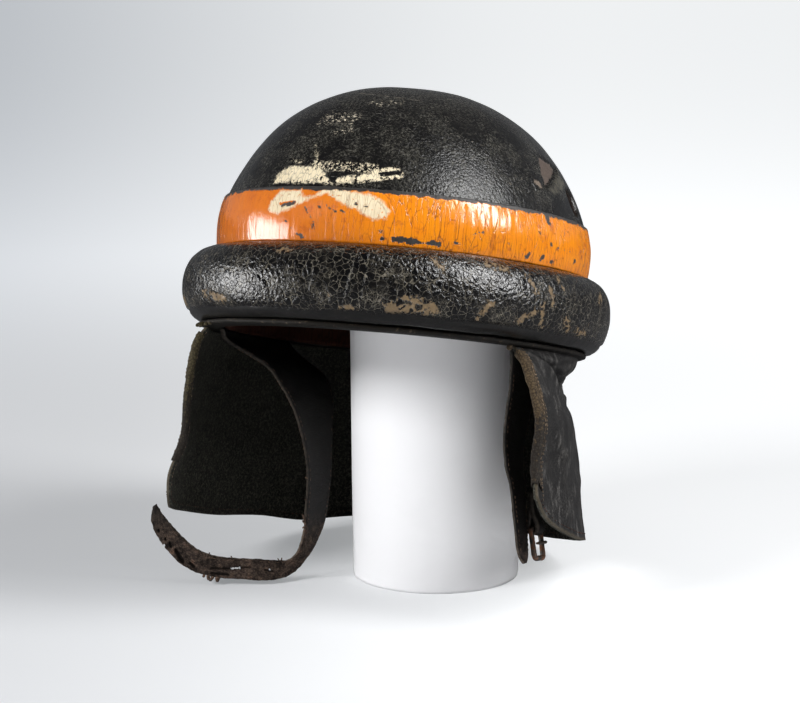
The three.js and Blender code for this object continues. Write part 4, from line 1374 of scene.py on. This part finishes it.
def makeBuckleFrame():
    reachX = (buckle["height"] - buckle["wire"]) / 2
    reachY = (buckle["width"] - buckle["wire"]) / 2
    corner = buckle["corner"] - buckle["wire"] / 2
    path = []
    for signX, signY, start in ((1, 1, 0), (-1, 1, 90), (-1, -1, 180), (1, -1, 270)):
        for angle in np.radians(start + np.linspace(0, 90, 9)):
            x = signX * (reachX - corner) + corner * math.cos(angle)
            path.append((x, signY * (reachY - corner) + corner * math.sin(angle), 0))
    path = np.array(path + path[:1])
    run = runLength(path[:, None], 0)[:, 0]
    even = np.linspace(0, run[-1], buckle["steps"], endpoint=False)
    path = np.stack([np.interp(even, run, path[:, k]) for k in range(3)], -1)
    path[:, 2] += 0.25 * np.sin(even / run[-1] * 2 * math.pi)
    tube = sweepTube(path, np.full(len(path), buckle["wire"] / 2), buckle["sides"], True)
    tube = tube + unit(tube - path[:, None]) * ripples(tube, buckle["rustPits"])[..., None]
    return makeTube("buckleWire", placeBuckle(tube))


def makeProng():
    # an eye bent round the rear bar and a tapered pin that lies on the front bar
    bar = (buckle["width"] - buckle["wire"]) / 2
    eye = buckle["wire"] / 2 + buckle["prong"] / 2 + 0.15
    angles = np.radians(np.linspace(200, -70, 22))
    path = [(0, bar + eye * math.sin(angle) * 0.9, eye * math.cos(angle)) for angle in angles[:-6]]
    startY, startZ = path[-1][1], path[-1][2]
    for share in np.linspace(0, 1, 24)[1:]:
        path.append((0.3 * share, startY + (-bar - 0.8 - startY) * share, startZ + (eye - startZ) * share ** 0.6))
    path = np.array(path)
    radii = np.interp(np.arange(len(path)), [0, 6, len(path) - 6, len(path) - 1], [0.5, 0.9, 0.7, 0.25])
    tube = sweepTube(path, radii, buckle["prongSides"], False)
    tube[0], tube[-1] = path[0], path[-1]
    return makeTube("bucklePin", placeBuckle(tube), closed=False)


def makeRustyWire():
    material, local, _ = helmetMaterial("rustyWire")
    crust = cloud(local, 1.4, 6, 0.75)
    patches = blots(local, 4, 4, 0.55, 0.4, 0.6)
    steel = mix(cloud(local, 2, 4), (0.05, 0.045, 0.04), (0.2, 0.18, 0.16))
    rust = mix(crust, (0.035, 0.015, 0.008), (0.25, 0.11, 0.055))
    setInput(material.node_tree.nodes["Principled BSDF"].inputs["Metallic"], spread(patches, 0.85, 0.1))
    return setLook(material, mix(patches, steel, rust), spread(patches, 0.42, 0.85), crust, 0.12, 0.5)


rustyWire = makeRustyWire()
finishPiece(makeBuckleFrame(), rustyWire, "rusty_wire", "buckle_frame")
finishPiece(makeProng(), rustyWire, "rusty_wire", "buckle_prong")


print("stage: buckle loop, threads and torn bits")
buckleLoop = {
    # from the outside of the buckle strap round the buckle's upper bar and back; x and z
    "path": [
        (90.3, -78.5), (90.7, -83), (91.4, -88), (93.2, -92.5), (95, -95.6), (94.9, -98.2), (93, -99.6),
        (90.7, -98.6), (89.9, -95.8), (90.2, -91), (90.4, -87),
    ],
    "left": -24,
    "right": -14.6,
    "wall": 2.4,
    "steps": 60,
    "columns": 14,
}


def smoothPath(corners, count):
    corners = np.asarray(corners, float)
    places = np.concatenate([[0], np.cumsum(np.linalg.norm(np.diff(corners, axis=0), axis=1))])
    return readTable(places, corners, np.linspace(0, places[-1], count))


def makeBuckleLoop():
    path = smoothPath(buckleLoop["path"], buckleLoop["steps"])
    ahead = np.gradient(path, axis=0)
    outward = np.stack([-ahead[:, 1], ahead[:, 0]], -1) / np.linalg.norm(ahead, axis=1, keepdims=True)
    across = np.linspace(buckleLoop["left"], buckleLoop["right"], buckleLoop["columns"])
    sides = []
    for shift in (-0.5, 0.5):
        line = path + outward * shift * buckleLoop["wall"]
        grid = np.zeros((len(path), len(across), 3))
        grid[..., 0], grid[..., 2] = line[:, :1], line[:, 1:]
        grid[..., 1] = across
        grid += 0.18 * ripple(grid, 3, 2.2)[..., None] * [1, 0, 1]
        sides.append(grid)
    edge = np.minimum(across - across[0], across[-1] - across)
    keep = np.ones((len(path) - 1, len(across) - 1), bool)
    layers = bothSides({"edge": np.broadcast_to(edge, sides[0].shape[:2])})
    return makeSheet("buckleLoop", *sides, keep, layers)


finishPiece(makeBuckleLoop(), strapLeather, "strap_leather", "buckle_strap")


def makeThreadMaterial(name, dark, light):
    material, local, _ = helmetMaterial(name)
    colour = mix(blots(local, 2.5, 4, 0.7, 0.35, 0.65), dark, light)
    return setLook(material, colour, 0.85, cloud(local, 0.3, 2), 0.05)


brownThread = makeThreadMaterial("brownThread", (0.05, 0.035, 0.025), (0.3, 0.22, 0.15))
darkThread = makeThreadMaterial("darkThread", (0.03, 0.02, 0.016), (0.16, 0.105, 0.075))
redThread = makeThreadMaterial("redThread", (0.02, 0.01, 0.008), (0.09, 0.045, 0.033))


def joinTubes(name, tubes, sides):
    # closed tubes that taper to a point at both ends, as one mesh
    points, faces, start = [], [], 0
    for path, radius in tubes:
        reach = np.linspace(0, 1, len(path))
        radii = radius * np.clip(np.minimum(reach, 1 - reach) * 6, 0.02, 1)
        tube = sweepTube(path, radii, sides, False)
        tube[0], tube[-1] = path[0], path[-1]
        points.append(tube.reshape(-1, 3))
        faces.append(tubeFaces(len(path), sides, False) + start)
        start += tube.shape[0] * sides
    return makeMesh(name, seatHelmet(np.concatenate(points)), np.concatenate(faces))


def atGrid(grid, along, across):
    # a point on the near side of a strap, its way out and its way along; along and across are shares
    i = int(along * (len(grid["front"]) - 1))
    j = int(across * (grid["front"].shape[1] - 1))
    ahead = grid["front"][min(i + 1, len(grid["front"]) - 1), j] - grid["front"][max(i - 1, 0), j]
    return grid["front"][i, j], -grid["normals"][i, j], unit(ahead)


# loose threads: strap, share along and across it, length, radius, lean along the strap
frays = [
    ("cheek", 0.72, 0, 2, 0.4, -0.5), ("cheek", 0.8, 0, 1.9, 0.42, 0.1),
    ("cheek", 0.885, 0, 3.4, 0.55, -1), ("cheek", 0.9, 0, 3.2, 0.6, -0.6),
    ("cheek", 0.915, 0, 2.2, 0.5, 0.3), ("free", 0.16, 0, 1.6, 0.34, -0.8),
    ("free", 0.172, 0, 1.3, 0.3, 0.2), ("free", 0.43, 0, 1.1, 0.32, 0.8),
    ("free", 0.57, 0, 1.1, 0.32, 0.4), ("free", 0.5, 1, 2.6, 0.9, 0.8),
    ("free", 0.515, 1, 2.6, 1.1, -0.3), ("free", 0.53, 1, 2.8, 0.9, 0.4),
    ("free", 0.55, 1, 2.2, 1, -0.8), ("free", 0.563, 1, 2, 0.8, 0.1),
    ("free", 0.49, 0.96, 2.2, 0.8, 1.2),
]


def makeFrays():
    tubes = []
    grids = {"cheek": cheekGrid, "free": freeGrid}
    for number, (on, along, across, length, radius, lean) in enumerate(frays):
        place, outward, ahead = atGrid(grids[on], along, across)
        row = grids[on]["front"][int(along * (len(grids[on]["front"]) - 1))]
        aside = unit(row[0] - row[-1] if across < 0.5 else row[-1] - row[0])
        reach = np.linspace(-0.25, 1, 9)[:, None] * length
        bend = np.sin(np.linspace(0, 2.4, 9) + number)[:, None] * 0.16 * length
        path = place - outward * 0.6 + aside * reach + ahead * (reach * lean + bend)
        tubes.append((path + outward * bend * 0.6, radius))
    return joinTubes("looseThreads", tubes, 7)


finishPiece(makeFrays(), darkThread, "strap_leather")

# torn bits of leather at the ends of the rim, under the roll: place, way out, length and half width
tornBits = [
    ((-87, -72, -2.2), (-0.5, -0.75, -0.35), 3.2, 1.7), ((-82.5, -77.5, -2.2), (-0.35, -0.85, -0.4), 3.4, 1.9),
    ((-78, -82, -2), (-0.2, -0.9, -0.3), 3, 1.7), ((-73.5, -86.5, -1.9), (-0.1, -0.9, -0.3), 2.6, 1.4),
    ((85, -62, -3.6), (-0.3, -0.8, -0.2), 4, 2.6),
]


def makeTornBits():
    tubes = []
    for number, (place, way, length, half) in enumerate(tornBits):
        path = place + unit(np.array(way)) * np.linspace(-0.2, 1, 10)[:, None] * length
        sag = np.array([0, 0, -1.0]) * (np.linspace(0, 1, 10)[:, None] ** 2) * 0.25 * length
        waver = ripple(path, 3, number + 0.7)[:, None] * [0.8, 0.8, 0.5]
        tubes.append((path + sag + waver, half * 0.6))
    return joinTubes("tornBits", tubes, 9)


finishPiece(makeTornBits(), bindingLeather, "binding_leather")


print("stage: stitches")
stitchInputs = {
    "Geometry": "Geometry", "Spacing": "Float", "Length": "Float", "Thickness": "Float", "Kept": "Float",
    "Seed": "Int", "Material": "Material",
}


def buildStitchGroup():
    # stitches along the edges of a mesh: spacing, length and thickness in metres
    group = bpy.data.node_groups.new("stitchRow", "GeometryNodeTree")
    for label, kind in stitchInputs.items():
        group.interface.new_socket(label, in_out="INPUT", socket_type="NodeSocket" + kind)
    group.interface.new_socket("Geometry", in_out="OUTPUT", socket_type="NodeSocketGeometry")
    sockets = group.nodes.new("NodeGroupInput").outputs
    start = {label: Value(sockets[label]) for label in stitchInputs}
    curve = put("GeometryNodeMeshToCurve", {"Mesh": start["Geometry"]})
    line = {"Curve": curve, "Length": start["Spacing"]}
    points = addNode(group, "GeometryNodeCurveToPoints", line, mode="LENGTH").outputs
    ball = addNode(group, "GeometryNodeMeshUVSphere", {"Segments": 7, "Rings": 5, "Radius": 0.5}).outputs[0]
    size = put("ShaderNodeCombineXYZ", {0: start["Thickness"], 1: start["Thickness"], 2: start["Length"]})
    sizes = {0: (0.8, 0.8, 0.75), 1: (1.15, 1.15, 1.1), "Seed": start["Seed"]}
    uneven = put("FunctionNodeRandomValue", sizes, data_type="FLOAT_VECTOR")
    chance = {"Probability": start["Kept"], "Seed": start["Seed"]}
    placed = put("GeometryNodeInstanceOnPoints", {
        "Points": Value(points["Points"]),
        "Selection": put("FunctionNodeRandomValue", chance, 3, data_type="BOOLEAN"),
        "Instance": Value(ball),
        "Rotation": Value(points["Rotation"]),
        "Scale": calcVector("MULTIPLY", size, uneven),
    })
    real = put("GeometryNodeRealizeInstances", {"Geometry": placed})
    smooth = put("GeometryNodeSetShadeSmooth", {"Geometry": real})
    done = put("GeometryNodeSetMaterial", {"Geometry": smooth, "Material": start["Material"]})
    setInput(group.nodes.new("NodeGroupOutput").inputs["Geometry"], done)
    return group


stitchGroup = buildStitchGroup()


def stitch(name, lines, material, facts):
    # lines in the helmet's millimetres; facts names the group's inputs, lengths in millimetres too
    edges, start = [], 0
    for line in lines:
        edges += [(start + k, start + k + 1) for k in range(len(line) - 1)]
        start += len(line)
    mesh = bpy.data.meshes.new(name + "Lines")
    mesh.from_pydata(seatHelmet(np.concatenate(lines)).tolist(), edges, [])
    guide = addObject(name + "Lines", mesh)
    modifier = guide.modifiers.new("stitches", "NODES")
    modifier.node_group = stitchGroup
    values = {"Material": material}
    for key, value in facts.items():
        values[key] = value * mm if key in ("Spacing", "Length", "Thickness") else value
    for socket in stitchGroup.interface.items_tree:
        if socket.in_out == "INPUT" and socket.name in values:
            modifier[socket.identifier] = values[socket.name]
    guide.update_tag()
    bpy.context.view_layer.update()
    ready = guide.evaluated_get(bpy.context.evaluated_depsgraph_get())
    made = addObject(name, bpy.data.meshes.new_from_object(ready))
    bpy.data.objects.remove(guide)
    return made


def insetLine(surface, normals, inset, lift, first=0, last=None):
    # a line that keeps its distance from one edge of a strap; a negative inset counts from the far edge
    surface, normals = surface[first:last], normals[first:last]
    run = runLength(surface, 1)
    line = []
    for row, out, reach in zip(surface, normals, run):
        at = inset if inset > 0 else reach[-1] + inset
        line.append([np.interp(at, reach, row[:, k]) + lift * np.interp(at, reach, out[:, k]) for k in range(3)])
    return np.array(line)


def strapStitches(grid, insets, first, last):
    lines = []
    for inset in insets:
        lines.append(insetLine(grid["front"], -grid["normals"], inset, 0.08, first, last))
        lines.append(insetLine(grid["back"], grid["normals"], inset, 0.08, first, last))
    return lines


def besideCurtain(lift):
    # the curtain's inner and outer face, lifted off by that much
    lifted = curtainGrid["inward"] * lift
    return curtainGrid["inner"] + lifted, curtainGrid["outer"] - lifted


curtainIn, curtainOut = besideCurtain(0.1)
hemStitch = {"Spacing": 2.7, "Length": 1.9, "Thickness": 0.5, "Kept": 0.9, "Seed": 4}
hem = stitch("hemStitches", [curtainIn[5:-5, -4], curtainOut[5:-5, -4]], redThread, hemStitch)
finishPiece(hem, None, "curtain_leather")

edgeLines = [
    curtainIn[-9, 3:-4], curtainOut[8, 3:-4], rightFold[2, 4:-10], rightFold[-3, 4:-10], leftFold[2, 4:-14],
    leftFold[-3, 4:-14],
]
edgeStitch = {"Spacing": 2.1, "Length": 1.5, "Thickness": 0.55, "Kept": 0.8, "Seed": 9}
finishPiece(stitch("edgeStitches", edgeLines, brownThread, edgeStitch), None, "binding_leather")

strapLines = strapStitches(cheekGrid, (1.7, -1.7), 24, None)
strapLines += strapStitches(freeGrid, (1.5,), 4, 250)
strapLines += strapStitches(buckleGrid, (1.7, -1.7), 30, 178)
strapStitch = {"Spacing": 2.5, "Length": 1.7, "Thickness": 0.45, "Kept": 0.75, "Seed": 21}
finishPiece(stitch("strapStitches", strapLines, darkThread, strapStitch), None, "strap_leather")


print("stage: display cylinder")
stand = {
    "footRadius": 46.5,
    "topRadius": 49,
    "fullHeight": 290,
    "sides": 220,
    "wallRows": 150,
    "topRings": 30,
    "topInset": 0.985,
    "gaps": (0.4, 0.6),  # under the crown, over the top's middle and over its edge
    "lowest": 150,
    "halvings": 40,  # of the gap between too low and too high, in the search for the crown
    "footBevel": (0.25, 0.5),
    "creaseDepth": 0.22,
    "creaseWidth": 1.2,
    # dents left by the buckle, from and to
    "creases": [
        ((41, -22, 37), (46.5, -10, 32)), ((40.5, -23, 30), (45.5, -12, 23.5)),
        ((42, -20, 45), (46.6, -8, 42)),
    ],
}


def ceilingHeight(x, y):
    # how high the cylinder may go under the crown, in millimetres above the floor
    tilt = math.radians(helmet["tiltBack"])
    inset = helmet["shellWall"] + helmet["fit"]
    low, high = np.full_like(x, stand["lowest"]), np.full_like(x, stand["fullHeight"])
    for _ in range(stand["halvings"]):
        height = (low + high) / 2
        offX, offY, offZ = x - helmet["seat"][0], y - helmet["seat"][1], height - helmet["seat"][2]
        localY = offY * math.cos(tilt) - offZ * math.sin(tilt)
        localZ = offY * math.sin(tilt) + offZ * math.cos(tilt)
        stretchBack = 1 + helmet["lengthening"] / helmet["shellRadius"]
        radius = np.hypot(offX, localY / stretchBack)
        fits = (radius < domeRadius(np.clip(localZ, 0, None), inset)) & (localZ < helmet["crownHeight"] - inset)
        low, high = np.where(fits, height, low), np.where(fits, high, height)
    return low


def makeStand():
    sides = stand["sides"]
    angles = np.linspace(0, 2 * math.pi, sides, endpoint=False)
    edgeX, edgeY = (stand["topRadius"] * stand["topInset"] * way for way in (np.cos(angles), np.sin(angles)))
    rows = []
    for share in np.linspace(0, 1, stand["topRings"])[:-1]:
        x, y = edgeX * share, edgeY * share
        rows.append(np.stack([x, y, ceilingHeight(x, y) - stand["gaps"][0]], -1))
    slope = (stand["topRadius"] - stand["footRadius"]) / stand["fullHeight"]
    top = ceilingHeight(edgeX, edgeY) - stand["gaps"][1]
    bevelIn, bevelUp = stand["footBevel"]
    for share in np.linspace(1, 0, stand["wallRows"]):
        height = top * share
        radius = stand["footRadius"] + slope * height - bevelIn * np.exp(-height / bevelUp)
        ring = np.stack([radius * np.cos(angles), radius * np.sin(angles), height], -1)
        near = [nearStroke(ring, *ends) for ends in stand["creases"]]
        dent = sum(stand["creaseDepth"] * bell(distance, stand["creaseWidth"]) for distance in near)
        ring[:, :2] *= (1 - dent / radius)[:, None]
        rows.append(ring)
    rows.append(np.zeros((sides, 3)))
    return makeMesh("cardCylinder", np.array(rows) * mm, tubeFaces(len(rows), sides, False))


def makeCard():
    material, position = newMaterial("whiteCard")
    point = calcVector("MULTIPLY", position, (1 / mm,) * 3)
    colour = mix(blots(point, 30, 4, 0.55, 0.5, 0.75) * 0.12, (0.87, 0.87, 0.885), (0.7, 0.7, 0.72))
    return setLook(material, colour, 0.62, cloud(point, 0.8, 4, 0.7), 0.03, 0.3)


finishPiece(makeStand(), makeCard(), "white_card", "stand")


print("stage: floor and light")
studio = {
    "floorSize": 90,
    # azimuth, elevation, distance, size, power, whether the gloss mirrors it and whether it lights the scene
    "softboxes": {
        "leftSoftbox": (-65, 1, 0.6, (0.33, 0.22), 2.1, True, False),
        "rightSoftbox": (91, 35, 1.5, (0.5, 1.1), 25, True, True),
        "frontFill": (-34, 27, 2.8, (1.15, 0.8), 70, False, True),
        "overhead": (20, 80, 2.2, (2.4, 2.4), 10, False, True),
    },
    "aim": (-0.02, -0.02, 0.17),
    "horizon": (0.1, 0.104, 0.11, 1),
    "ceiling": (0.03, 0.031, 0.034, 1),
    "front": (math.sin(math.radians(20)), -math.cos(math.radians(20)), 0),
}


def makeFloor():
    mesh = bpy.data.meshes.new("studioFloor")
    half = studio["floorSize"] / 2
    corners = [(-half, -half, 0), (half, -half, 0), (half, half, 0), (-half, half, 0)]
    mesh.from_pydata(corners, [], [(0, 1, 2, 3)])
    material, position = newMaterial("paleFloor")
    paths = addNode(material.node_tree, "ShaderNodeLightPath").outputs
    cameraRay = Value(paths["Is Camera Ray"])
    # the floor glows for the camera alone, a painted light that is strongest far off and, near the helmet, stronger
    # on the right; the glow is darker on the left, and the camera sees a darker base colour under it
    flat = calcVector("MULTIPLY", position, (1, 1, 0))
    turn = math.radians(camera["turn"])
    right = calcVector("DOT_PRODUCT", flat, (math.cos(turn), math.sin(turn), 0), "Value")
    back = calcVector("DOT_PRODUCT", flat, (-math.sin(turn), math.cos(turn), 0), "Value")
    aside = right / (back + 1.2 | 0.3)
    far = rise(calcVector("LENGTH", flat, output="Value"), 0.3, 1.5)
    near = spread(rise(right, -0.25, 0.12), 0.27, 0.48)
    tone = mix(Value(paths["Is Glossy Ray"]), (0.87, 0.875, 0.885), (0.14, 0.14, 0.145))
    look = {
        "Base Color": mix(cameraRay, tone, (0.55, 0.555, 0.565)),
        "Emission Color": mix(rise(aside, -0.3, 0.1), (0.45, 0.48, 0.52), (0.97, 0.99, 1)),
        "Emission Strength": cameraRay * mixValue(far, near, 0.86),
        "Roughness": 0.7,
        "Specular IOR Level": 0.2,
    }
    for key, value in look.items():
        setInput(material.node_tree.nodes["Principled BSDF"].inputs[key], value)
    mesh.materials.append(material)
    addObject("studioFloor", mesh)


def makeSoftbox(name, azimuth, elevation, distance, size, power, mirrored, lights):
    azimuth, elevation = math.radians(azimuth), math.radians(elevation)
    level = math.cos(elevation)
    way = Vector((math.sin(azimuth) * level, -math.cos(azimuth) * level, math.sin(elevation)))
    lamp = addObject(name, bpy.data.lights.new(name, "AREA"))
    lamp.data.shape = "RECTANGLE"
    lamp.data.size, lamp.data.size_y = size
    lamp.data.energy = power
    lamp.location = Vector(studio["aim"]) + way * distance
    lamp.rotation_euler = way.to_track_quat("Z", "Y").to_euler()
    lamp.visible_glossy, lamp.visible_diffuse = mirrored, lights


def makeWorld():
    world = bpy.data.worlds.new("studio")
    world.use_nodes = True
    tree = world.node_tree
    way = Value(addNode(tree, "ShaderNodeTexCoord").outputs["Generated"])
    up = put("ShaderNodeSeparateXYZ", {0: way}, 2)
    glossy = Value(addNode(tree, "ShaderNodeLightPath").outputs["Is Glossy Ray"])
    # black gloss mirrors a dark room in front of it
    towards = calcVector("DOT_PRODUCT", way, studio["front"], "Value")
    mirrored = spread(rise(towards, -0.6, 0.3), 2, 0.5)
    background = tree.nodes["Background"].inputs
    setInput(background["Color"], mix(rise(up, 0, 0.55), studio["horizon"], studio["ceiling"]))
    setInput(background["Strength"], mixValue(glossy, 1, mirrored))
    bpy.context.scene.world = world
    bpy.context.scene.view_settings.view_transform = "Standard"


makeFloor()
for lampName, lampFacts in studio["softboxes"].items():
    makeSoftbox(lampName, *lampFacts)
makeWorld()
